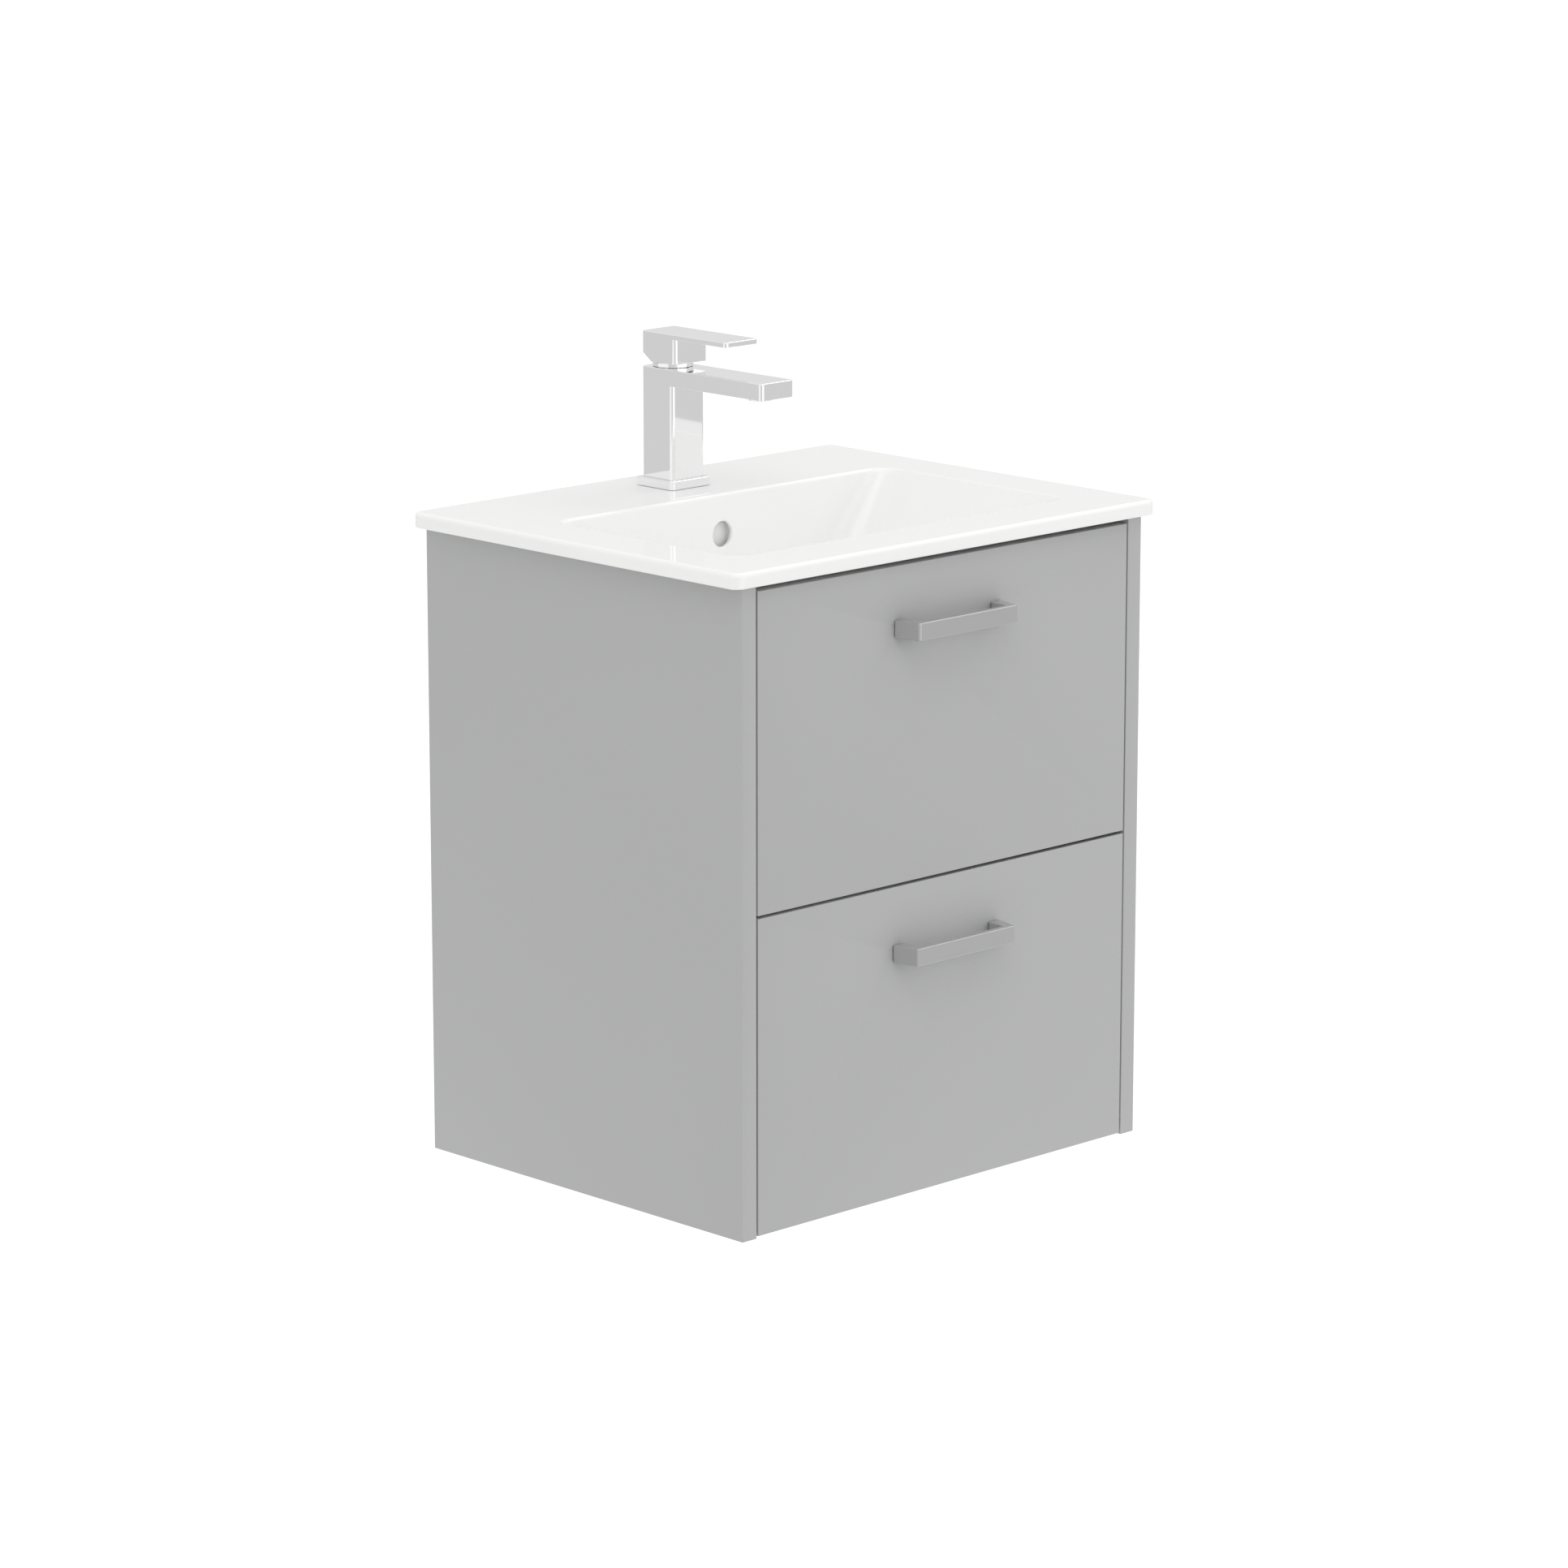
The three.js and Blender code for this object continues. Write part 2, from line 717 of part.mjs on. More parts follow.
// The flat rim, with a rounded top edge and an eased bottom edge.
function rimSlab() {
  const level = (inset, z) =>
    rectangleLevel(basinWidth / 2 - inset, -basinDepth + inset, -inset, rimCorner - inset, z);
  const topEdge = [0, 30, 60, 90].map((degrees) => {
    const angle = THREE.MathUtils.degToRad(degrees);
    return level(rimTopRound * (1 - Math.cos(angle)), -rimTopRound * (1 - Math.sin(angle)));
  });
  return loft([
    level(rimBottomRound, -rimThickness),
    level(0, -rimThickness + rimBottomRound),
    ...topEdge,
  ]);
}

// Y = 0 is the wall and Z = 0 the deck.
function basin() {
  const channelFront = bowlBack - wallInset(overflowDrop, bowlBackSlope) + overflowWeb;
  const channelBack = channelFront + channelDepth;
  const housingBack = channelBack + housingWall;
  const housingHalf = channelWidth / 2 + housingWall;
  const ductTop = -(bowlDepth + ductRoof);
  const ductLow = ductTop - ductHeight;
  const housing = block(-housingHalf, housingHalf, channelFront - 2 * housingWall, housingBack,
    -bossDepth, -rimThickness / 2);
  const keel = block(-housingHalf, housingHalf, wasteY, housingBack, -bossDepth, -bowlDepth + 1);
  const boss = rod(bossRadius, -bossDepth, -bowlDepth - 1).translate(0, wasteY, 0);
  const body = join(rimSlab(), bowlShell(), housing, keel, boss);
  const halfChannel = channelWidth / 2;
  return cut(body,
    bowlHollow(),
    rod(wasteFlangeRadius + seatGap, -seatDepth, -bowlDepth + 1).translate(0, wasteY, 0),
    rod(wasteTubeRadius + wasteBoreClearance, -bossDepth - 1, -bowlDepth).translate(0, wasteY, 0),
    rodAlongY(overflowRadius, channelFront - 3 * housingWall, channelFront + 1)
      .translate(0, 0, -overflowDrop),
    block(-halfChannel, halfChannel, channelFront, channelBack,
      ductLow, -overflowDrop + overflowRadius + 3),
    block(-halfChannel, halfChannel, wasteY, channelBack, ductLow, ductTop),
    rod(tapHoleRadius, -rimThickness - 1, 1).translate(0, -tapFromWall, 0));
}

// ---------------------------------------------------------------- waste

// Z = 0 is the seat that the flange stands on.
const bossUnderSeat = bossDepth - seatDepth;

function wasteBody() {
  const bore = wasteTubeRadius - wasteTubeWall;
  const tube = turned([
    [bore, -wasteTubeLength],
    [wasteTubeRadius, -wasteTubeLength],
    [wasteTubeRadius, seatGap],
    [wasteFlangeRadius, seatGap],
    [wasteFlangeRadius, wasteFlangeThickness * 0.7],
    [wasteFlangeRadius - 2, wasteFlangeThickness],
    [bore, wasteFlangeThickness / 2],
    [bore, -spiderDrop],
    [spiderHoleRadius, -spiderDrop],
    [spiderHoleRadius, -spiderDrop - spiderThickness],
    [bore, -spiderDrop - spiderThickness],
    [bore, -wasteTubeLength],
  ]);
  const drainRadius = (bore - spiderHoleRadius) / 2 - 1;
  const drainAt = (bore + spiderHoleRadius) / 2;
  const drains = [0, 1, 2, 3].map((k) =>
    rod(drainRadius, -spiderDrop - 2 * spiderThickness, -spiderDrop + spiderThickness, smallRoundSteps)
      .translate(drainAt, 0, 0)
      .rotateZ((k * Math.PI) / 2));
  const windowTop = -(ductRoof - wasteFlangeThickness);
  const windows = block(-wasteFlangeRadius, wasteFlangeRadius, -wasteTubeWall * 2, wasteTubeWall * 2,
    windowTop - ductHeight / 2, windowTop);
  return cut(tube, ...drains, windows);
}

function wastePlug() {
  const under = wasteFlangeThickness + seatGap;
  return turned([
    [0, under - plugStemLength],
    [plugStemRadius, under - plugStemLength],
    [plugStemRadius, under],
    [plugRadius, under],
    [plugRadius, under + plugEdge],
    [plugRadius * 0.8, under + plugEdge + plugDome * 0.55],
    [plugRadius * 0.45, under + plugEdge + plugDome * 0.9],
    [0, under + plugEdge + plugDome],
  ]);
}

function waste() {
  const washerTop = -bossUnderSeat - seatGap;
  const washerLow = washerTop - wasteWasherThickness;
  const nutTop = washerLow - seatGap;
  const inner = wasteTubeRadius + threadClearance;
  const nut = alongZ(hexagon(wasteNutRadius * Math.sqrt(3), inner), nutTop - wasteNutThickness, nutTop,
    smallRoundSteps);
  return groupAt(0, wasteY, deckHeight - seatDepth,
    part("waste_body", wasteBody(), "chrome"),
    part("waste_plug", wastePlug(), "chrome"),
    part("waste_washer", ring(inner, wasteWasherRadius, washerLow, washerTop), "blackRubber"),
    part("waste_nut", nut, "brass"));
}

// ---------------------------------------------------------------- tap

const tapHalf = tapSide / 2;
const cartridgeTop = tapBodyTop - cartridgeBelowTop;
const cartridgeBase = cartridgeTop - cartridgeHeight;
const pivotHeight = tapBodyTop - pivotBelowTop;
const aeratorY = tapHalf - spoutLength + aeratorInset;
const spoutUnderside = tapBodyTop - spoutThickness;
const leverBase = tapBodyTop + leverRise;
const domeRadius = Math.hypot(collarRadius, leverBase - 2 * seatGap - pivotHeight);

function tapPlinth() {
  const half = tapPlinthSide / 2;
  const plate = alongZ(roundedRectangle(-half, half, -half, half, tapEdgeRound), seatGap,
    tapPlinthHeight, 3);
  return cut(plate, rod(tapPlinthBore, -1, tapPlinthHeight + 1));
}

// The square column and its flat spout, with the cartridge's bore and the waterways.
function tapBody() {
  const column = alongZ(roundedRectangle(-tapHalf, tapHalf, -tapHalf, tapHalf, tapEdgeRound),
    tapPlinthHeight, tapBodyTop, 3);
  const spout = alongZ(
    roundedRectangle(-tapHalf, tapHalf, tapHalf - spoutLength, tapHalf, tapEdgeRound),
    spoutUnderside, tapBodyTop, 3);
  const waterwayZ = spoutUnderside + spoutThickness / 2;
  const ports = [-1, 1].map((sign) =>
    rod(tailPortRadius, tapPlinthHeight - 1, cartridgeBase, smallRoundSteps)
      .translate(sign * tailPortOffset, -tailPortOffset / 2, 0));
  return cut(join(column, spout),
    rod(cartridgeRadius + slotClearance, cartridgeBase - seatGap, tapBodyTop + 1),
    rodAlongY(waterwayRadius, aeratorY, 0, smallRoundSteps).translate(0, 0, waterwayZ),
    rod(aeratorRadius + slotClearance, spoutUnderside - 1,
      spoutUnderside - aeratorShow + aeratorHeight + seatGap).translate(0, aeratorY, 0),
    rod(studRadius + threadClearance, tapPlinthHeight - 1,
      tapPlinthHeight + studInBody + seatGap, smallRoundSteps).translate(0, studSetback, 0),
    ...ports);
}

function tapAerator() {
  const low = spoutUnderside - aeratorShow;
  const bore = aeratorRadius - aeratorWall;
  const ceiling = low + aeratorHeight * 0.4;
  return turned([
    [0, ceiling],
    [bore, ceiling],
    [bore, low],
    [aeratorRadius, low],
    [aeratorRadius, low + aeratorHeight],
    [0, low + aeratorHeight],
  ]).translate(0, aeratorY, 0);
}

function tapCartridge() {
  const socket = spindleRadius + slotClearance;
  return turned([
    [0, cartridgeBase],
    [cartridgeRadius, cartridgeBase],
    [cartridgeRadius, cartridgeTop],
    [socket, cartridgeTop],
    [socket, cartridgeTop - spindleSocketDepth],
    [0, cartridgeTop - spindleSocketDepth],
  ]);
}

// Swivels in the cartridge; the lever's stem tilts in its slot.
function tapSpindle() {
  const low = cartridgeTop - spindleSocketDepth + seatGap;
  const high = cartridgeTop + spindleAboveCartridge;
  const slotHalfX = leverStemSide / 2 + slotClearance;
  const slotHalfY = spindleRadius * 0.8;
  const slotLow = pivotHeight - leverStemBelowPivot - 1.5;
  return cut(rod(spindleRadius, low, high),
    block(-slotHalfX, slotHalfX, -slotHalfY, slotHalfY, slotLow, high + 1));
}

// A round collar over the cartridge; its dome is centred on the lever's pivot.
function tapCollar() {
  const base = tapBodyTop + seatGap;
  const onSphere = (radius, r) => [r, pivotHeight + Math.sqrt(radius * radius - r * r)];
  const inner = domeRadius - domeWall;
  const throat = domeMouthRadius + 1;
  const middle = (collarRadius + domeMouthRadius) / 2;
  return turned([
    [throat, cartridgeTop + seatGap],
    [cartridgeRadius, cartridgeTop + seatGap],
    [cartridgeRadius, base],
    [collarRadius, base],
    onSphere(domeRadius, collarRadius),
    onSphere(domeRadius, middle),
    onSphere(domeRadius, domeMouthRadius),
    onSphere(inner, domeMouthRadius),
    onSphere(inner, middle),
    [middle, base],
    [throat, cartridgeTop + seatGap + collarSkirtHeight],
    [throat, cartridgeTop + seatGap],
  ]);
}

// The block and flat lever in one piece, hollowed over the dome, with its stem.
function tapLever() {
  const blockTop = leverBase + leverBlockHeight;
  const plateTop = blockTop + leverPlateThickness;
  const blockFront = tapHalf - leverBlockLength;
  const column = alongZ(roundedRectangle(-tapHalf, tapHalf, blockFront, tapHalf, tapEdgeRound),
    leverBase, blockTop + leverPlateThickness / 2, 3);
  const profile = outline([
    [tapHalf + 1, plateTop],
    [tapHalf + 1, leverBase + leverChamferRise * (1 + 1 / leverChamferRun)],
    [tapHalf - leverChamferRun, leverBase],
    [blockFront - 1, leverBase],
    [blockFront - 1, plateTop],
  ]);
  const chamfered = common(column, alongX(profile, -tapSide, tapSide));
  const plate = alongZ(
    roundedRectangle(-tapHalf, tapHalf, tapHalf - leverPlateLength, tapHalf, tapEdgeRound),
    blockTop, plateTop, 3);
  const hollow = new THREE.SphereGeometry(domeRadius + 2 * seatGap, roundSteps, roundSteps / 2)
    .rotateX(Math.PI / 2)
    .translate(0, 0, pivotHeight);
  const halfStem = leverStemSide / 2;
  const stem = block(-halfStem, halfStem, -halfStem, halfStem,
    pivotHeight - leverStemBelowPivot, blockTop - 1);
  return join(cut(join(chamfered, plate), hollow), stem);
}

// Under the deck: a rubber seal, a horseshoe plate, a stud and its long nut.
function tapFixing() {
  const sealTop = -rimThickness - seatGap;
  const sealLow = sealTop - tapSealThickness;
  const plateTop = sealLow - seatGap;
  const plateLow = plateTop - clampPlateThickness;
  const nutTop = plateLow - seatGap;
  const studHole = studRadius + threadClearance;
  const tailSlot = tailPortOffset + tailPortRadius + 1;
  const plate = cut(rod(tapSealRadius, plateLow, plateTop),
    block(-tailSlot, tailSlot, -tapSealRadius - 1, tailPortOffset / 2, plateLow - 1, plateTop + 1),
    rod(studHole, plateLow - 1, plateTop + 1, smallRoundSteps).translate(0, studSetback, 0));
  const nut = alongZ(hexagon(clampNutFlats, studHole), nutTop - clampNutLength, nutTop)
    .translate(0, studSetback, 0);
  const studTop = tapPlinthHeight + studInBody;
  const stud = rod(studRadius, studTop - studLength, studTop, smallRoundSteps)
    .translate(0, studSetback, 0);
  return [
    part("tap_seal", ring(tapHoleRadius, tapSealRadius, sealLow, sealTop), "blackRubber"),
    part("tap_clamp_plate", plate, "zincSteel"),
    part("tap_stud", stud, "zincSteel"),
    part("tap_clamp_nut", nut, "brass"),
  ];
}

// Z = 0 is the deck, on the tap's axis.
function tap() {
  return groupAt(0, -tapFromWall, deckHeight,
    part("tap_plinth", tapPlinth(), "chrome"),
    part("tap_body", tapBody(), "chrome"),
    part("tap_aerator", tapAerator(), "chrome"),
    part("tap_cartridge", tapCartridge(), "whitePlastic"),
    part("tap_spindle", tapSpindle(), "brass"),
    part("tap_collar", tapCollar(), "chrome"),
    part("tap_lever", tapLever(), "chrome"),
    ...tapFixing());
}

// ---------------------------------------------------------------- assembly

const upperRunnerZ = upperFrontBase + upperBoxRise + runnerRise;
const lowerRunnerZ = lowerFrontBase + lowerBoxRise + runnerRise;

const vanity = groupAt(0, 0, -wallRailCentre,
  ...carcassBoards(),
  wallRail(),
  ...hangingBrackets(),
  ...fixedRunners("upper", upperRunnerZ),
  ...fixedRunners("lower", lowerRunnerZ),
  ...middleRunners("upper", upperRunnerZ),
  ...middleRunners("lower", lowerRunnerZ),
  upperDrawer(),
  lowerDrawer(),
  groupAt(0, 0, deckHeight, part("basin", basin(), "ceramic")),
  waste(),
  tap());

export default vanity;
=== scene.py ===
"""A wall-hung bathroom vanity: two drawers in a grey cabinet, a ceramic basin, a square mixer tap."""

import math

import bpy
import numpy as np
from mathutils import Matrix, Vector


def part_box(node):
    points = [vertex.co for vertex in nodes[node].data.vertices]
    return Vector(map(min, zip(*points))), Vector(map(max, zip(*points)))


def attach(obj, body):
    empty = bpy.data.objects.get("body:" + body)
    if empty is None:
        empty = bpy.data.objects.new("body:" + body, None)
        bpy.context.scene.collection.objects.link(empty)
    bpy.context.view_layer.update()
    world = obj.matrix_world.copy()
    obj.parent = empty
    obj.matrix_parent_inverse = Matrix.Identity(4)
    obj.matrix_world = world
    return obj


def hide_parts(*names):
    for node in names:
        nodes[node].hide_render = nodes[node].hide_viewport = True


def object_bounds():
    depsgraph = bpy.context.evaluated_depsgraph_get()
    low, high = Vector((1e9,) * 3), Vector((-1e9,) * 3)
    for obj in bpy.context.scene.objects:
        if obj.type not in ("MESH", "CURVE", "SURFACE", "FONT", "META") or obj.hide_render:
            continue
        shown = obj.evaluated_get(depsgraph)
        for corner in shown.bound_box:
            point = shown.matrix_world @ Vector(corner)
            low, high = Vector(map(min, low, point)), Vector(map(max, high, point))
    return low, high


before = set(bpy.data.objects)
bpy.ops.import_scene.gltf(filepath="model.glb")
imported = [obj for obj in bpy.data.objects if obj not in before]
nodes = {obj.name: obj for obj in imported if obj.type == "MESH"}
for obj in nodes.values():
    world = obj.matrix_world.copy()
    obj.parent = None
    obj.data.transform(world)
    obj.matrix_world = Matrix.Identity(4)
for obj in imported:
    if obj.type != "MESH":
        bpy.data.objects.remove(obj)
cad_low, cad_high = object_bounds()


# ------------------------------------------------------------------ studio
# A pale floor well below the hanging cabinet, in an even white room; the floor glows, which is painted
# light. Five soft boxes: overhead, above the camera, high on the right, and two broad ones at the sides
# that the chrome mirrors.
# The camera stands at the front left and looks a little down.

camera_place = (-3.857, -4.189, 1.0467)
camera_turn = math.radians(44.179)
camera_dip = math.radians(12.831)
camera_lens = 135.39
tap_y = -0.066

eye = bpy.data.cameras.new("camera")
eye.lens = camera_lens
eye.sensor_width = 36.0
eye.sensor_fit = "HORIZONTAL"
eye.clip_start = 0.1
eye.clip_end = 400.0
camera = bpy.data.objects.new("camera", eye)
camera.location = camera_place
camera.rotation_euler = (math.pi / 2 - camera_dip, 0.0, -camera_turn)
bpy.context.scene.collection.objects.link(camera)
bpy.context.scene.camera = camera
bpy.context.scene.view_settings.view_transform = "Standard"


class Wire:
    """One output of a shader node. Sums, differences and products of wires and numbers add Math
    nodes, and the reflected forms let a number stand first."""

    def __init__(self, socket):
        self.socket = socket

    def math(self, operation, first, second):
        node = self.socket.id_data.nodes.new("ShaderNodeMath")
        node.operation = operation
        feed(node.inputs[0], first)
        feed(node.inputs[1], second)
        return Wire(node.outputs[0])

    def __add__(self, other):
        return self.math("ADD", self, other)

    def __sub__(self, other):
        return self.math("SUBTRACT", self, other)

    def __rsub__(self, other):
        return self.math("SUBTRACT", other, self)

    def __mul__(self, other):
        return self.math("MULTIPLY", self, other)

    __radd__ = __add__
    __rmul__ = __mul__


def feed(socket, value):
    """Links a wire to a socket, or sets the socket's own value."""
    if isinstance(value, Wire):
        socket.id_data.links.new(value.socket, socket)
    else:
        socket.default_value = value


class Shading:
    """The nodes of one material or world."""

    def __init__(self, owner):
        owner.use_nodes = True
        self.tree = owner.node_tree

    def node(self, kind, settings=None, values=None, output=None):
        """Adds a node: its settings first, then the values or links of its sockets.
        Gives back the named output, or the first that is in use."""
        node = self.tree.nodes.new(kind)
        for key, value in (settings or {}).items():
            setattr(node, key, value)
        for key, value in (values or {}).items():
            feed(next(s for s in node.inputs if s.enabled and s.name == key), value)
        return Wire(next(s for s in node.outputs if s.enabled and output in (None, s.name)))


class Finish(Shading):
    """A material on one Principled shader, whose constants are set on its own sockets."""

    def __init__(self, name, **constants):
        self.material = bpy.data.materials.new(name)
        super().__init__(self.material)
        self.shader = self.tree.nodes["Principled BSDF"]
        self.set(**constants)
        self.place = self.node("ShaderNodeTexCoord", output="Object")

    def set(self, **values):
        """Sets or links the shader's sockets; a name's underscores stand for spaces."""
        for key, value in values.items():
            feed(self.shader.inputs[key.replace("_", " ").title().replace("Ior", "IOR")], value)

    def noise(self, scale, detail=2.0, place=None):
        """Smooth noise from 0 to 1, with about this many swells to the metre."""
        return self.node("ShaderNodeTexNoise",
                         values={"Vector": place or self.place, "Scale": scale, "Detail": detail})

    def stretched(self, x, y, z):
        """The place on the piece, scaled by a factor along each axis."""
        return self.node("ShaderNodeMapping", values={"Vector": self.place, "Scale": (x, y, z)})

    def tone(self, factor, low, high):
        """A colour between two, by a factor from 0 to 1."""
        self.set(base_color=self.node("ShaderNodeMix", {"data_type": "RGBA"}, {
            "Factor": factor, "A": (*low, 1.0), "B": (*high, 1.0)}))

    def relief(self, height, depth, strength=1.0):
        """Bump of this height field, with this depth in metres."""
        self.set(normal=self.node("ShaderNodeBump", values={
            "Height": height, "Distance": depth, "Strength": strength}))


floor_height = cad_low.z - 0.53
floor_half = 120.0
sweep_fan = 0.15
sweep_start = 0.8
sweep_half = 1.0
sweep_end = 2.1
# Emission colours of the floor, painted light: the bright glow in the sweep and the dimmer glow beyond it.
sweep_glow_tone = (0.80, 0.80, 0.80, 1.0)
beyond_glow_tone = (0.38, 0.38, 0.38, 1.0)
floor_mesh = bpy.data.meshes.new("floor")
floor_mesh.from_pydata(
    [(x * floor_half, y * floor_half, floor_height)
     for x, y in ((-1, -1), (1, -1), (1, 1), (-1, 1))],
    [], [(0, 1, 2, 3)])
floor = bpy.data.objects.new("floor", floor_mesh)
bpy.context.scene.collection.objects.link(floor)
floor_paint = Finish("glowing_pale_floor", roughness=0.9, specular_ior_level=0.1)
floor_paint.tone(floor_paint.noise(0.4), (0.30, 0.30, 0.30), (0.32, 0.32, 0.32))
sweep_along = (math.sin(camera_turn), math.cos(camera_turn), 0.0)
sweep_across = (math.cos(camera_turn), -math.sin(camera_turn), 0.0)
along, across = [floor_paint.node("ShaderNodeVectorMath", {"operation": "DOT_PRODUCT"},
                                  {"Vector": floor_paint.place}, "Value") for _ in range(2)]
along.socket.node.inputs[1].default_value = sweep_along
across.socket.node.inputs[1].default_value = sweep_across
# The floor's emission is a painted glow, a painted pool of light: a bright sweep lies behind the cabinet
# and widens as it runs away from the camera, with a dimmer glow beyond.
beside = across.math("ABSOLUTE", across, 0.0) - sweep_fan * along
off_sweep = floor_paint.node("ShaderNodeMapRange", {"interpolation_type": "SMOOTHSTEP"}, {
    "Value": beside.math("MAXIMUM", beside, sweep_start - along),
    "From Min": sweep_half, "From Max": sweep_end})
floor_paint.set(emission_strength=1.0, emission_color=floor_paint.node(
    "ShaderNodeMix", {"data_type": "RGBA"},
    {"Factor": off_sweep, "A": sweep_glow_tone, "B": beyond_glow_tone}))
floor_mesh.materials.append(floor_paint.material)

room = bpy.data.worlds.new("white_room")
bpy.context.scene.world = room
room_light = Shading(room)
room_light.tree.nodes["Background"].inputs["Strength"].default_value = 1.0
upward = room_light.node("ShaderNodeSeparateXYZ", values={
    "Vector": room_light.node("ShaderNodeTexCoord", output="Generated")}, output="Z")
ceiling = room_light.node("ShaderNodeMapRange", {"interpolation_type": "SMOOTHSTEP"}, {
    "Value": upward, "From Min": 0.25, "From Max": 0.8})
feed(room_light.tree.nodes["Background"].inputs["Color"], room_light.node(
    "ShaderNodeMix", {"data_type": "RGBA"},
    {"Factor": ceiling, "A": (0.76, 0.76, 0.76, 1.0), "B": (0.86, 0.86, 0.86, 1.0)}))


def soft_box(name, place, aim, width, height, radiance):
    """A rectangular area light at a place, facing a point, that the camera itself doesn't see."""
    lamp = bpy.data.lights.new(name, "AREA")
    lamp.shape = "RECTANGLE"
    lamp.size = width
    lamp.size_y = height
    lamp.energy = radiance * math.pi * width * height
    lamp_object = bpy.data.objects.new(name, lamp)
    lamp_object.location = place
    direction = np.subtract(aim, place)
    yaw = math.atan2(direction[0], direction[1])
    dip = math.atan2(-direction[2], math.hypot(direction[0], direction[1]))
    lamp_object.rotation_euler = (math.pi / 2 - dip, 0.0, -yaw)
    lamp_object.visible_camera = False
    bpy.context.scene.collection.objects.link(lamp_object)


def aside(bearing, distance, height):
    """A place at a bearing from the way towards the camera, and a distance from the tap."""
    angle = camera_turn + math.pi - math.radians(bearing)
    return (distance * math.sin(angle), tap_y + distance * math.cos(angle), height)


middle = (0.0, tap_y, 0.5)
soft_box("top_box", (-0.3, -0.6, 4.0), (0.0, -0.22, 0.0), 3.0, 3.0, 0.28)
soft_box("front_box", aside(0.0, 3.0, 3.4), middle, 2.4, 1.6, 1.2)
soft_box("upper_right_box", (3.0, -0.5, 3.1), (0.0, -0.3, 0.1), 3.0, 1.6, 1.2)
soft_box("left_box", aside(-57.5, 4.2, 0.5), middle, 5.35, 3.3, 0.30)
soft_box("right_box", aside(53.5, 4.2, 0.5), middle, 4.56, 3.3, 0.55)


# ------------------------------------------------------------------ carcass boards
# 18 mm faced board in a satin mid-grey lacquer: two side panels, a bottom, and rails across
# the front and back, butted and dowelled. The edges are banded and barely eased.

board_ease = 0.0005


def satin_lacquer():
    """Sprayed grey with a fine orange peel and the faintest drift of tone."""
    finish = Finish("satin_grey_lacquer", specular_ior_level=0.4)
    drift = finish.noise(2.5)
    peel = finish.noise(650.0, 1.0)
    finish.tone(drift, (0.457, 0.458, 0.463), (0.469, 0.470, 0.475))
    finish.set(roughness=0.44 + 0.06 * finish.noise(9.0))
    finish.relief(peel, 0.00002, 0.5)
    return finish.material


def dress(material, ease, *names, steps=3):
    """Gives CAD pieces a material, and eases their edges after merging their loose triangles."""
    for name in names:
        piece = nodes[name]
        piece.data.materials.clear()
        piece.data.materials.append(material)
        piece.data.polygons.foreach_set("use_smooth", np.ones(len(piece.data.polygons), bool))
        weld = piece.modifiers.new("merge", "WELD")
        weld.merge_threshold = 0.000005
        flat = piece.modifiers.new("flats", "DECIMATE")
        flat.decimate_type = "DISSOLVE"
        flat.angle_limit = math.radians(0.5)
        bevel = piece.modifiers.new("ease", "BEVEL")
        bevel.limit_method = "ANGLE"
        bevel.angle_limit = math.radians(32)
        bevel.width = ease
        bevel.segments = steps
        bevel.harden_normals = True
        bevel.use_clamp_overlap = True


grey = satin_lacquer()
dress(grey, board_ease, "side_panel_left", "side_panel_right", "bottom_panel", "front_rail",
      "back_rail_upper", "back_rail_lower")


# ------------------------------------------------------------------ wall rail and brackets
# A pressed steel rail that is screwed to the wall, with its lip joggled forward, and two steel
# hooks on the back of the cabinet that drop over it. All zinc plated.

steel_ease = 0.0003


def zinc_plate():
    """Bright zinc: a cool grey metal, clouded where the plating's crystals turn."""
    finish = Finish("zinc_plate", metallic=1.0)
    spangle = finish.node("ShaderNodeTexVoronoi", values={"Vector": finish.place, "Scale": 130.0},
                          output="Distance")
    cloud = finish.noise(40.0, 3.0)
    finish.tone(cloud * 0.6 + spangle * 0.4, (0.50, 0.52, 0.55), (0.70, 0.72, 0.74))
    finish.set(roughness=0.26 + 0.16 * cloud)
    finish.relief(finish.noise(900.0, 1.0), 0.00001, 0.4)
    return finish.material


zinc = zinc_plate()
dress(zinc, steel_ease, "wall_rail", "hanging_bracket_left", "hanging_bracket_right")


# ------------------------------------------------------------------ drawer runners
# Ball-bearing runners in rolled steel: a member on the cabinet, one on the drawer box, and a
# middle member between them that travels half as far.

dress(zinc, steel_ease, *[
    f"{drawer}_runner_{member}_{side}"
    for drawer in ("upper", "lower")
    for member in ("fixed", "middle", "drawer")
    for side in ("left", "right")], steps=2)


# ------------------------------------------------------------------ drawer boxes
# 12 mm boards faced with pale melamine round an 8 mm bottom. The upper box goes round the waste.


def pale_melamine():
    """A light grey facing with a fine printed fleck under a dull clear coat."""
    finish = Finish("pale_melamine", specular_ior_level=0.4)
    fleck = finish.noise(1.0, 4.0, finish.stretched(260.0, 260.0, 90.0))
    finish.tone(fleck, (0.65, 0.65, 0.64), (0.71, 0.71, 0.695))
    finish.set(roughness=0.5 + 0.12 * fleck)
    finish.relief(fleck, 0.00003, 0.5)
    return finish.material


melamine = pale_melamine()
melamine_ease = 0.0004
box_boards = ("_drawer_side", "_drawer_back", "_drawer_recess", "_drawer_bottom")
dress(melamine, melamine_ease, *[name for name in nodes if any(board in name for board in box_boards)])


# ------------------------------------------------------------------ drawer fronts
# Plain boards in the cabinet's grey lacquer, set in flush between the side panels with a narrow
# gap all round. Each closes the front of its drawer box, whose sides and bottom butt against it.

dress(grey, board_ease, "upper_drawer_front", "lower_drawer_front")


# ------------------------------------------------------------------ handles
# Cast bar handles in satin chrome. Their returns lean in towards a flat grip, and each foot is
# held by a screw from inside the drawer.

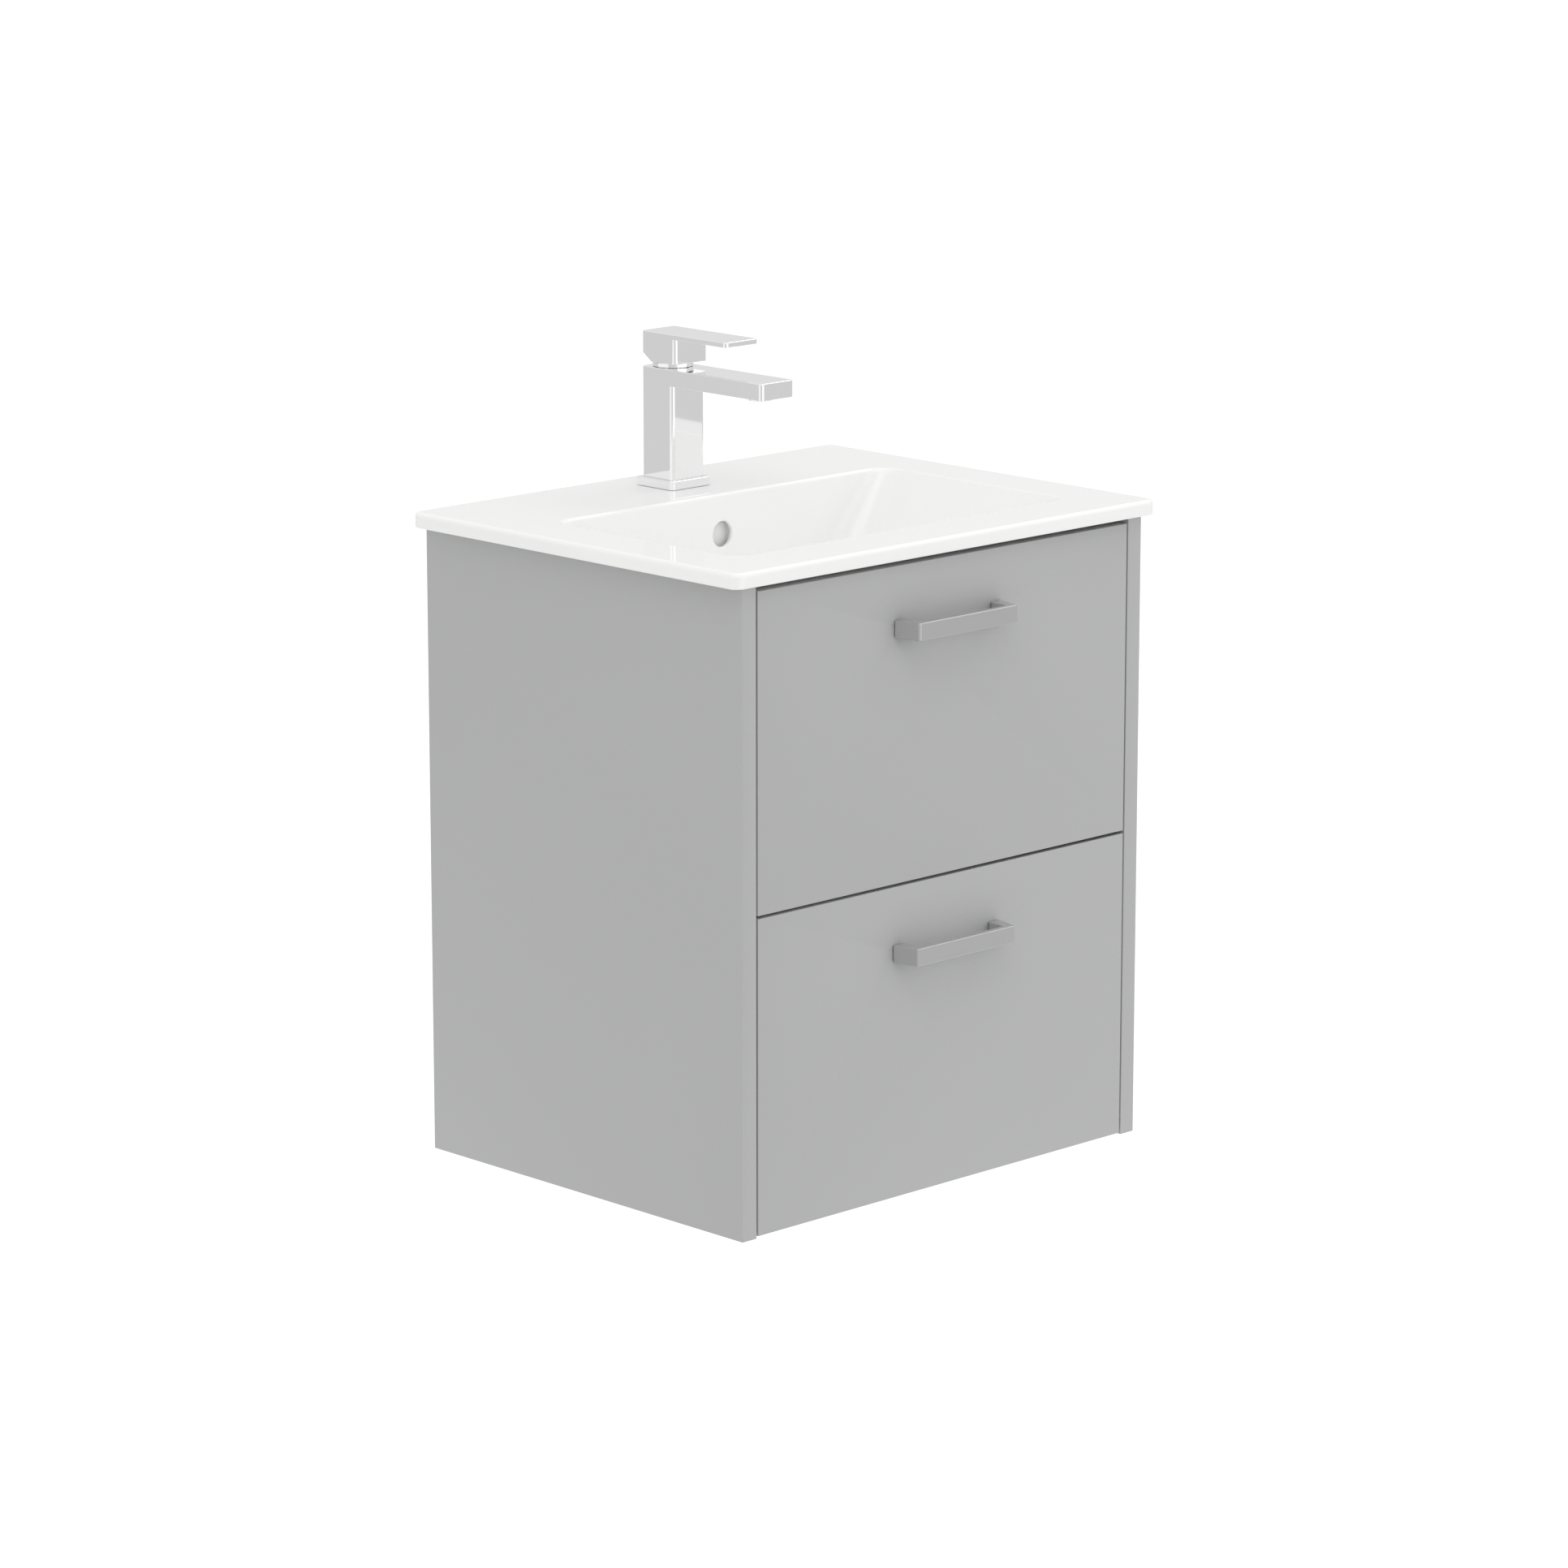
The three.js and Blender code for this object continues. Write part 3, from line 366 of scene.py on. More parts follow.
handle_ease = 0.0012
handle_corner = 0.0024
foot_corner = 0.0003
foot_shadow = 0.0011
foot_half = 0.071
grip_half = 0.065
foot_inner = 0.057
foot_taper = 0.001
grip_thickness = 0.007


def surface(name, points, material, closed=False):
    """A mesh over a grid of points. Each row is a ring, anticlockwise from above, and is joined
    to the next; the last row meets the first if closed, and otherwise both ends are flat caps."""
    rows, columns = points.shape[:2]
    index = np.arange(rows * columns).reshape(rows, columns)
    low = index if closed else index[:-1]
    high = np.roll(index, -1, axis=0) if closed else index[1:]
    quads = np.stack([low, np.roll(low, -1, axis=1), np.roll(high, -1, axis=1), high], axis=-1)
    faces = quads.reshape(-1, 4).tolist()
    if not closed:
        faces += [index[0, ::-1].tolist(), index[-1].tolist()]
    mesh = bpy.data.meshes.new(name)
    mesh.from_pydata(points.reshape(-1, 3).tolist(), [], faces)
    mesh.polygons.foreach_set("use_smooth", np.ones(len(mesh.polygons), bool))
    mesh.materials.append(material)
    piece = bpy.data.objects.new(name, mesh)
    bpy.context.scene.collection.objects.link(piece)
    return piece


def eased(corners, radius, steps=5):
    """A polygon with each corner turned into an arc that touches both its sides: the arc starts
    radius * tan(half the turn) before the corner, and its points share the turn evenly."""
    corners = np.asarray(corners, float)
    before = corners - np.roll(corners, 1, axis=0)
    after = np.roll(corners, -1, axis=0) - corners
    before_length = np.linalg.norm(before, axis=1)
    after_length = np.linalg.norm(after, axis=1)
    along = before / before_length[:, None]
    onward = after / after_length[:, None]
    cross = along[:, 0] * onward[:, 1] - along[:, 1] * onward[:, 0]
    turn = np.arctan2(cross, (along * onward).sum(axis=1))
    half = np.tan(np.abs(turn) / 2) + 1e-12
    reach = np.minimum(np.broadcast_to(radius, turn.shape) * half,
                       0.48 * np.minimum(before_length, after_length))
    bend = reach / half
    inward = np.sign(turn)[:, None] * np.stack([-along[:, 1], along[:, 0]], axis=-1)
    centre = corners - along * reach[:, None] + inward * bend[:, None]
    angle = turn[:, None] * np.linspace(0, 1, steps + 1)
    x = inward[:, :1] * np.cos(angle) - inward[:, 1:] * np.sin(angle)
    y = inward[:, :1] * np.sin(angle) + inward[:, 1:] * np.cos(angle)
    return (centre[:, None] - bend[:, None, None] * np.stack([x, y], axis=-1)).reshape(-1, 2)


def inset_polygon(corners, distance):
    """The polygon with every side moved in by a distance: each corner moves along its mitre."""
    corners = np.asarray(corners, float)
    before = corners - np.roll(corners, 1, axis=0)
    after = np.roll(before, -1, axis=0)
    along = before / np.linalg.norm(before, axis=1)[:, None]
    onward = after / np.linalg.norm(after, axis=1)[:, None]
    left = (np.stack([-along[:, 1], along[:, 0]], axis=-1)
            + np.stack([-onward[:, 1], onward[:, 0]], axis=-1))
    scale = 2.0 / (left ** 2).sum(axis=1)
    return corners + left * scale[:, None] * distance


def edge_steps(low, high, head_ease, foot_ease, steps=5):
    """Heights and insets up a bar whose two ends have quarter-round edges."""
    angle = np.linspace(0, math.pi / 2, steps + 1)
    inset = 1 - np.sin(angle)
    rise = 1 - np.cos(angle)
    return (np.concatenate([low + foot_ease * rise, (high - head_ease * rise)[::-1]]),
            np.concatenate([foot_ease * inset, (head_ease * inset)[::-1]]))


def crisp(piece, angle=40.0):
    """Marks edges over an angle as sharp, and lets large faces set the shading of the rest."""
    piece.data.set_sharp_from_angle(angle=math.radians(angle))
    modifier = piece.modifiers.new("even_shading", "WEIGHTED_NORMAL")
    modifier.keep_sharp = True
    modifier.weight = 80


def shaped(piece, joins=(), cuts=()):
    """Joins solids to a piece and cuts others out of it, leaving one plain mesh."""
    for operation, tools in (("UNION", joins), ("DIFFERENCE", cuts)):
        for tool in tools:
            step = piece.modifiers.new(operation.lower(), "BOOLEAN")
            step.operation = operation
            step.object = tool
            step.solver = "EXACT"
    bpy.context.view_layer.update()
    evaluated = piece.evaluated_get(bpy.context.evaluated_depsgraph_get())
    mesh = bpy.data.meshes.new_from_object(evaluated)
    piece.modifiers.clear()
    piece.data = mesh
    for tool in (*joins, *cuts):
        bpy.data.objects.remove(tool)
    return piece


def satin_chrome():
    """Satin plating with a fine brush along the bar."""
    finish = Finish("satin_chrome", metallic=0.5)
    brush = finish.noise(1.0, 3.0, finish.stretched(60.0, 1800.0, 1800.0))
    finish.tone(brush, (0.485, 0.485, 0.49), (0.505, 0.505, 0.51))
    finish.set(roughness=0.11 + 0.05 * brush)
    finish.relief(brush, 0.000002, 0.2)
    return finish.material


satin = satin_chrome()
for drawer in ("upper", "lower"):
    low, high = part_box(f"{drawer}_handle")
    grip_back = low.y + grip_thickness
    step = high.y - foot_shadow
    half_plan = [(foot_half, step), (foot_half - foot_shadow, step), (foot_half - foot_shadow, high.y),
                 (foot_inner + foot_shadow, high.y), (foot_inner + foot_shadow, step), (foot_inner, step),
                 (foot_inner - foot_taper, grip_back)]
    plan = [(-grip_half, low.y), (grip_half, low.y), *half_plan, *[(-x, y) for x, y in half_plan[::-1]]]
    corners = [handle_corner] * 2 + [foot_corner] * 6 + [handle_corner] * 2 + [foot_corner] * 6
    heights, insets = edge_steps(low.z, high.z, handle_ease, handle_ease)
    outlines = [eased(inset_polygon(plan, inset), corners) for inset in insets]
    rings = np.array([np.column_stack([outline, np.full(len(outline), height)])
                      for outline, height in zip(outlines, heights)])
    handle = surface(f"{drawer}_bar_handle", rings, satin)
    crisp(handle)
    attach(handle, f"{drawer}_drawer")
    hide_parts(f"{drawer}_handle")

screw_ease = 0.0002
dress(zinc, screw_ease, *[f"{drawer}_handle_screw_{side}" for drawer in ("upper", "lower")
                          for side in ("left", "right")], steps=2)


# ------------------------------------------------------------------ basin
# One slip-cast vitreous china piece under a gloss white glaze: a flat rim with a rounded edge, a
# rectangular bowl, and a hollow at the back that carries the overflow down to the waste.

basin_low, basin_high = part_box("basin")
deck = basin_high.z
rim_thickness = 0.015
rim_corner = 0.0105
rim_round = 0.0045
rim_foot_round = 0.0015
bowl_half = 0.2225
bowl_back = -0.131
bowl_front = basin_low.y + 0.0595
bowl_corner = 0.024
bowl_corner_growth = 0.3
bowl_lip = 0.004
bowl_depth = 0.118
bowl_wall = 0.009
floor_round = 0.022
side_slope = math.radians(34)
front_slope = math.radians(14)
back_slope = math.radians(1)
waste_y = (bowl_back + bowl_front) / 2 + 0.01875
seat_radius = 0.0318
seat_drop = 0.003
bore_radius = 0.023
boss_radius = 0.040
boss_drop = 0.030
overflow_radius = 0.0125
overflow_height = deck - 0.0397
overflow_web = 0.004
channel_depth = 0.006
back_wall_lean = 0.0046
channel_front = bowl_back - back_wall_lean + overflow_web
channel_back = channel_front + channel_depth
channel_half = 0.016
housing_wall = 0.008
duct_top = deck - bowl_depth - 0.012
duct_height = 0.010


def gloss_glaze():
    """White glaze that pools a little unevenly, over a body that is very slightly wavy."""
    finish = Finish("gloss_white_glaze", ior=1.5)
    swell = finish.noise(14.0, 1.0)
    finish.tone(finish.noise(5.0), (0.950, 0.951, 0.942), (0.960, 0.961, 0.952))
    finish.set(roughness=0.02 + 0.02 * finish.noise(30.0))
    finish.relief(swell, 0.0002, 0.06)
    return finish.material


def rectangle_rings(half, back, front, radius, height, corner_steps=12, side_steps=8):
    """Rings round rectangles with arcs at the corners, anticlockwise from the back right corner.
    Each size may be an array with one value to a ring."""
    half, back, front, radius, height = [
        np.atleast_1d(v)[:, None] for v in np.broadcast_arrays(half, back, front, radius, height)]
    right = half - radius
    centre_x = np.concatenate([right, -right, -right, right], axis=1)[:, :, None]
    centre_y = np.concatenate([back - radius, back - radius, front + radius, front + radius],
                              axis=1)[:, :, None]
    angle = (np.arange(4)[:, None] + np.linspace(0, 1, corner_steps + 1)) * math.pi / 2
    arcs = np.stack([centre_x + radius[:, :, None] * np.cos(angle),
                     centre_y + radius[:, :, None] * np.sin(angle)], axis=-1)
    share = (np.arange(1, side_steps) / side_steps)[:, None]
    ends = arcs[:, :, -1:, :]
    starts = np.roll(arcs[:, :, :1, :], -1, axis=1)
    sides = ends + (starts - ends) * share
    flat = np.concatenate([arcs, sides], axis=2).reshape(len(half), -1, 2)
    return np.concatenate([flat, np.broadcast_to(height[:, :, None], (*flat.shape[:2], 1))], axis=-1)


def circle_rings(centre_y, radius, height, count):
    """Rings round circles, with their points spread as the rectangles' are."""
    radius, height = np.broadcast_arrays(np.atleast_1d(radius), height)
    angle = (np.arange(count) + 0.5) / count * 2 * math.pi
    return np.stack([radius[:, None] * np.cos(angle), centre_y + radius[:, None] * np.sin(angle),
                     np.broadcast_to(height[:, None], (len(radius), count))], axis=-1)


def wall_inset(depth, slope):
    """How far a bowl wall has come in at a depth: a round lip that runs into a leaning line."""
    start = bowl_lip * (1 - math.tan(slope))
    lip = start / math.tan((math.pi / 2 - slope) / 2)
    arc = np.sqrt(np.maximum(lip ** 2 - (lip - np.minimum(depth, lip)) ** 2, 0))
    return np.where(depth < lip * (1 - math.sin(slope)), arc, start + depth * math.tan(slope))


def bowl_rings(depth, extra, wall, drop):
    """Rings of the bowl at some depths, moved in by extra and out by a wall's thickness."""
    grown = bowl_corner + np.maximum(depth, 0) * bowl_corner_growth
    return rectangle_rings(bowl_half - wall_inset(depth, side_slope) - extra + wall,
                           bowl_back - wall_inset(depth, back_slope) - extra + wall,
                           bowl_front + wall_inset(depth, front_slope) + extra - wall,
                           grown, deck - depth - drop)


lip_depths = bowl_lip * (1 - np.cos(np.linspace(0, math.pi / 2, 9)))
wall_depths = np.linspace(bowl_lip * 1.2, bowl_depth - floor_round * 0.6, 22)
turn_in = np.linspace(0, math.pi / 2, 15)[1:]
turn_depth = bowl_depth - floor_round * 0.6 + floor_round * 0.5 * np.sin(turn_in)
turn_extra = floor_round * (1 - np.cos(turn_in))
edge_angle = np.linspace(0, math.pi / 2, 9)
foot_angle = np.linspace(0, math.pi / 2, 5)
rim_half = basin_high.x

rim_inset = np.concatenate([rim_foot_round * (1 - np.sin(foot_angle)),
                            rim_round * (1 - np.cos(edge_angle))])
rim_height = np.concatenate([deck - rim_thickness + rim_foot_round * (1 - np.cos(foot_angle)),
                             deck - rim_round * (1 - np.sin(edge_angle))])
rim_side = rectangle_rings(rim_half - rim_inset, -rim_inset, basin_low.y + rim_inset,
                           rim_corner - rim_inset, rim_height)
inside = np.concatenate([bowl_rings(lip_depths, 0, 0, 0), bowl_rings(wall_depths, 0, 0, 0),
                         bowl_rings(turn_depth, turn_extra, 0, 0)])
ring_count = inside.shape[1]
floor_edge = inside[-1]
seat_edge = circle_rings(waste_y, seat_radius + 0.0012, deck - bowl_depth, ring_count)[0]
fall = np.linspace(0, 1, 16)[1:, None, None]
basin_floor = floor_edge + (seat_edge - floor_edge) * fall
ease_in_out = (fall ** 2 * (3 - 2 * fall))[..., 0]
basin_floor[..., 2] = floor_edge[0, 2] + (deck - bowl_depth - floor_edge[0, 2]) * ease_in_out
boss_foot = deck - bowl_depth - boss_drop
seat_profile = np.array([
    (seat_radius + 0.0004, deck - bowl_depth - 0.0003),
    (seat_radius, deck - bowl_depth - 0.001),
    (seat_radius, deck - bowl_depth - seat_drop),
    (bore_radius, deck - bowl_depth - seat_drop),
    (bore_radius, deck - bowl_depth - seat_drop - 0.001),
    (bore_radius, boss_foot + 0.001),
    (bore_radius + 0.001, boss_foot),
    (boss_radius - 0.001, boss_foot),
    (boss_radius, boss_foot + 0.001),
    (boss_radius, deck - bowl_depth - bowl_wall)])
seat = circle_rings(waste_y, seat_profile[:, 0], seat_profile[:, 1], ring_count)
belly_out = bowl_rings(turn_depth[::-1], turn_extra[::-1], bowl_wall, bowl_wall * np.sin(turn_in[::-1]))
under_rim_round = 0.006
belly_side = bowl_rings(np.linspace(wall_depths[-1], rim_thickness + under_rim_round, 14), 0, bowl_wall, 0)
fillet = np.linspace(0, math.pi / 2, 6)[1:]
under_rim = bowl_rings(rim_thickness + under_rim_round * (1 - np.sin(fillet)),
                       -under_rim_round * (1 - np.cos(fillet)), bowl_wall, 0)
glaze = gloss_glaze()
basin = surface("china_basin", np.concatenate([
    rim_side, inside, basin_floor, seat, belly_out, belly_side, under_rim]), glaze, closed=True)


def turned(name, profile, centre, material, closed=False, steps=72):
    """A profile of (radius, height) points carried round an upright axis: outsides run upwards."""
    profile = np.asarray(profile, float)
    angle = np.arange(steps) / steps * 2 * math.pi
    x = centre[0] + profile[:, :1] * np.cos(angle)
    y = centre[1] + profile[:, :1] * np.sin(angle)
    z = np.broadcast_to(centre[2] + profile[:, 1:], x.shape)
    return surface(name, np.stack([x, y, z], axis=-1), material, closed)


def laid_back(piece):
    """Turns a piece made about the upright axis so that its axis runs from front to back."""
    points = np.empty(len(piece.data.vertices) * 3, np.float32)
    piece.data.vertices.foreach_get("co", points)
    x, y, z = points.reshape(-1, 3).T
    piece.data.vertices.foreach_set("co", np.column_stack([x, z, -y]).ravel())
    return piece


def soft_block(name, x, y, z, upright, ease, material, foot_ease=None):
    """A block between (low, high) pairs, with round upright edges and eased ends."""
    heights, insets = edge_steps(z[0], z[1], ease, ease if foot_ease is None else foot_ease)
    centre = (x[0] + x[1]) / 2
    rings = rectangle_rings((x[1] - x[0]) / 2 - insets, y[1] - insets, y[0] + insets,
                            np.maximum(upright - insets, 0.0001), heights,
                            corner_steps=14, side_steps=2)
    rings[..., 0] += centre
    return surface(name, rings, material)


housing_half = channel_half + housing_wall
housing = soft_block("housing", (-housing_half, housing_half),
                     (bowl_back - 0.0025, channel_back + housing_wall),
                     (boss_foot, deck - rim_thickness / 2), 0.005, 0.002, glaze)
keel = soft_block("keel", (-housing_half + 0.0002, housing_half - 0.0002), (waste_y, channel_back + 0.004),
                  (boss_foot + 0.0001, deck - bowl_depth - 0.001), 0.003, 0.002, glaze)
channel = soft_block("channel", (-channel_half, channel_half), (channel_front, channel_back),
                     (duct_top - duct_height, overflow_height + overflow_radius + 0.003),
                     0.002, 0.001, glaze)
duct = soft_block("duct", (-channel_half, channel_half), (waste_y, channel_back - 0.0001),
                  (duct_top - duct_height + 0.0001, duct_top), 0.002, 0.001, glaze)
flare = np.linspace(math.pi / 2, 0, 8)
mouth_reach = 0.0022
mouth_face = bowl_back - wall_inset(deck - overflow_height, back_slope)
mouth = laid_back(turned("mouth", [
    (0.0001, mouth_face - 0.02), (overflow_radius + mouth_reach, mouth_face - 0.02),
    *zip(overflow_radius + mouth_reach * (1 - np.cos(flare)),
         mouth_face + mouth_reach * (1 - np.sin(flare))),
    (overflow_radius, channel_front + 0.001), (0.0001, channel_front + 0.001)],
    (0.0, -overflow_height, 0.0), glaze))
tap_hole = turned("tap_hole", [(0.0001, deck - 0.03), (0.0175, deck - 0.03), (0.0175, deck + 0.01),
                               (0.0001, deck + 0.01)], (0.0, tap_y, 0.0), glaze)
shaped(basin, [housing, keel], [channel, duct, mouth, tap_hole])
crisp(basin)
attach(basin, "carcass")
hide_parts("basin")


# ------------------------------------------------------------------ waste
# A chromed brass click-clack waste: a flange on the basin's seat, a threaded tail through the
# boss, windows that take the overflow, and a domed plug that presses down and springs back.

waste_seat = deck - bowl_depth - seat_drop
flange_radius = 0.0315
tail_radius = 0.021
tail_bore = 0.018
tail_length = 0.080
thread_pitch = 0.0023
thread_top = -0.030
drain_radius = 0.0055
drain_centre = 0.01125


def polished_chrome():
    """Mirror plating with a trace of drift in its polish."""
    finish = Finish("polished_chrome", metallic=1.0)
    finish.tone(finish.noise(20.0), (0.925, 0.925, 0.93), (0.94, 0.94, 0.945))
    finish.set(roughness=0.03 + 0.03 * finish.noise(60.0))
    finish.relief(finish.noise(25.0, 1.0), 0.00002, 0.02)
    return finish.material


chrome = polished_chrome()
outer = eased([(tail_bore, -tail_length), (tail_radius, -tail_length), (tail_radius, 0.0003),
               (flange_radius, 0.0003), (flange_radius, 0.0021), (0.0295, 0.003), (tail_bore, 0.0015),
               (tail_bore, -0.015), (0.0045, -0.015), (0.0045, -0.019), (tail_bore, -0.019)],
              [0.0006, 0.0006, 0.0003, 0.0005, 0.0009, 0.003, 0.0012, 0.0006, 0.0005, 0.0005, 0.0006], 4)
waste = turned("waste_and_flange", outer, (0.0, waste_y, waste_seat), chrome, closed=True)
drains = []
for quarter in range(4):
    angle = quarter * math.pi / 2
    drains.append(turned(
        f"drain_{quarter}",
        [(0.0001, -0.025), (drain_radius, -0.025), (drain_radius, -0.010), (0.0001, -0.010)],
        (drain_centre * math.cos(angle), waste_y + drain_centre * math.sin(angle), waste_seat),
        chrome, steps=32))
windows = soft_block("windows", (-0.030, 0.030), (waste_y - 0.006, waste_y + 0.006),
                     (waste_seat - 0.014, waste_seat - 0.009), 0.002, 0.0004, chrome)
shaped(waste, [], [*drains, windows])
crisp(waste, 35.0)
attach(waste, "carcass")
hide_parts("waste_body")

# The thread is one surface whose radius rises and falls with height less the share of a turn.
thread_steps = 72
thread_rows = np.linspace(-tail_length + 0.001, thread_top, 150)
thread_share = np.arange(thread_steps) / thread_steps
turns = thread_rows[:, None] / thread_pitch - thread_share
ridge = np.abs((turns % 1.0) * 2 - 1)
thread_radius = tail_radius + 0.0001 + 0.0003 * (ridge - 0.4)
thread_turn = thread_share * 2 * math.pi


def thread_rings(radius, rows):
    """Rings round the waste: each has a radius, or one for every point, and a height."""
    height = np.broadcast_to(waste_seat + rows[:, None], (len(rows), thread_steps))
    return np.stack([np.broadcast_to(radius * np.cos(thread_turn), height.shape),
                     waste_y + np.broadcast_to(radius * np.sin(thread_turn), height.shape),
                     height], axis=-1)


thread = thread_rings(thread_radius, thread_rows)
inner_wall = thread_rings(tail_radius - 0.0005, thread_rows[[-1, 0]])
tail_thread = surface("waste_tail_thread", np.concatenate([thread, inner_wall]), chrome, closed=True)
crisp(tail_thread, 60.0)
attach(tail_thread, "carcass")

plug_under = 0.0033
plug_radius = 0.0295
dome = np.linspace(0, 1, 14)[:, None]
plug_profile = np.concatenate([
    eased([(0.0, plug_under - 0.034), (0.0035, plug_under - 0.032), (0.0035, plug_under),
           (plug_radius, plug_under), (plug_radius, plug_under + 0.0016), (0.0, plug_under + 0.03)],
          [0.0, 0.0004, 0.0004, 0.0006, 0.0009, 0.0], 4)[10:-10],
    np.hstack([0.0288 * (1 - dome) + 0.0001, plug_under + 0.0019 + 0.0033 * (1 - (1 - dome) ** 2.2)])])
plug_profile = np.vstack([[0.0001, plug_under - 0.032], plug_profile])
plug = turned("waste_press_plug", plug_profile, (0.0, waste_y, waste_seat), chrome)
crisp(plug, 35.0)
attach(plug, "waste_plug")
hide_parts("waste_plug")


def soft_rubber():
    """Black moulded rubber with a bloom."""
    finish = Finish("black_rubber", specular_ior_level=0.3)
    bloom = finish.noise(160.0, 4.0)
    finish.tone(bloom, (0.018, 0.018, 0.02), (0.04, 0.04, 0.042))
    finish.set(roughness=0.7 + 0.2 * bloom)
    finish.relief(bloom, 0.00005, 0.5)
    return finish.material


def turned_brass():
    """Machined brass, with fine tool marks round the axis."""
    finish = Finish("machined_brass", metallic=1.0)
    marks = finish.noise(1.0, 2.0, finish.stretched(120.0, 120.0, 1500.0))
    finish.tone(marks, (0.56, 0.39, 0.17), (0.68, 0.49, 0.24))
    finish.set(roughness=0.24 + 0.14 * marks)
    finish.relief(marks, 0.00001, 0.5)
    return finish.material


rubber = soft_rubber()
brass = turned_brass()
dress(rubber, 0.0004, "waste_washer", "tap_seal")
dress(brass, 0.0006, "waste_nut", "tap_clamp_nut")


# ------------------------------------------------------------------ tap
# A chromed brass mixer: a square base plate, a square column with a flat spout, a round collar
# over the cartridge, and a lever of a block and a flat plate that swivels and tips.

tap_edge = 0.0036
tap_ease = 0.0009
plinth_low, plinth_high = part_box("tap_plinth")
body_low, body_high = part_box("tap_body")
lever_low, lever_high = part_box("tap_lever")
spout_thickness = 0.0164
spout_under = body_high.z - spout_thickness
pivot_height = body_high.z - 0.010
cartridge_radius = 0.0183
foot_ease = 0.0004
collar_radius = 0.020
collar_mouth = 0.0135

plinth = soft_block("tap_base_plate", (plinth_low.x, plinth_high.x), (plinth_low.y, plinth_high.y),
                    (plinth_low.z, plinth_high.z), tap_edge, tap_ease, chrome, 0.0003)
plinth_bore = turned("plinth_bore", [(0.0001, deck - 0.01), (0.017, deck - 0.01), (0.017, deck + 0.02),
                                     (0.0001, deck + 0.02)], (0.0, tap_y, 0.0), chrome)
shaped(plinth, [], [plinth_bore])
crisp(plinth)
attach(plinth, "carcass")
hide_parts("tap_plinth")

column_front = body_high.y - (body_high.x - body_low.x)
body = soft_block("tap_column_and_spout", (body_low.x, body_high.x), (column_front, body_high.y),
                  (body_low.z, body_high.z - 0.004), tap_edge, 0.0003, chrome)
spout = soft_block("spout", (body_low.x, body_high.x), (body_low.y, body_high.y),
                   (spout_under, body_high.z), tap_edge, tap_ease, chrome, foot_ease)
aerator_y = body_low.y + 0.024
bores = [
    turned("cartridge_bore", [(0.0001, body_high.z - 0.0547), (cartridge_radius, body_high.z - 0.0547),
                              (cartridge_radius, body_high.z + 0.01), (0.0001, body_high.z + 0.01)],
           (0.0, tap_y, 0.0), chrome),
    turned("aerator_bore", [(0.0001, spout_under - 0.01), (0.0123, spout_under - 0.01),
                            (0.0123, spout_under + 0.0078), (0.0001, spout_under + 0.0078)],
           (0.0, aerator_y, 0.0), chrome),
]
shaped(body, [spout], bores)
crisp(body)
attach(body, "carcass")
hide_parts("tap_body")

aerator_low = spout_under - 0.0035
aerator = turned("tap_aerator_cap", eased([
    (0.0001, aerator_low + 0.0044), (0.0095, aerator_low + 0.0044), (0.0095, aerator_low),
    (0.012, aerator_low), (0.012, aerator_low + 0.011), (0.0001, aerator_low + 0.011)],
    [0.0, 0.0004, 0.0005, 0.0008, 0.0003, 0.0], 4), (0.0, aerator_y, 0.0), chrome)
crisp(aerator, 35.0)
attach(aerator, "carcass")
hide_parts("tap_aerator")

collar_base = body_high.z + 0.0003
lever_base = body_high.z + 0.005
dome_radius = math.hypot(collar_radius, lever_base - 0.0006 - pivot_height)
swing = np.linspace(math.asin(collar_radius / dome_radius), math.asin(collar_mouth / dome_radius), 10)
outer_dome = np.column_stack([dome_radius * np.sin(swing), pivot_height + dome_radius * np.cos(swing)])
inner_radius = dome_radius - 0.0017
inner_swing = np.linspace(math.asin(collar_mouth / inner_radius), math.asin(0.01675 / inner_radius), 5)
inner_dome = np.column_stack([inner_radius * np.sin(inner_swing),
                              pivot_height + inner_radius * np.cos(inner_swing)])
collar = turned("tap_dome_collar", np.vstack([
    [(0.0145, body_high.z - 0.0031), (0.018, body_high.z - 0.0031), (0.018, collar_base - 0.0002),
     (0.0182, collar_base), (0.0198, collar_base), (collar_radius, collar_base + 0.0002)],
    outer_dome, inner_dome, [(0.01675, collar_base), (0.0145, body_high.z - 0.0001)]]),
    (0.0, tap_y, 0.0), chrome, closed=True, steps=96)
crisp(collar, 35.0)
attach(collar, "carcass")
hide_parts("tap_collar")

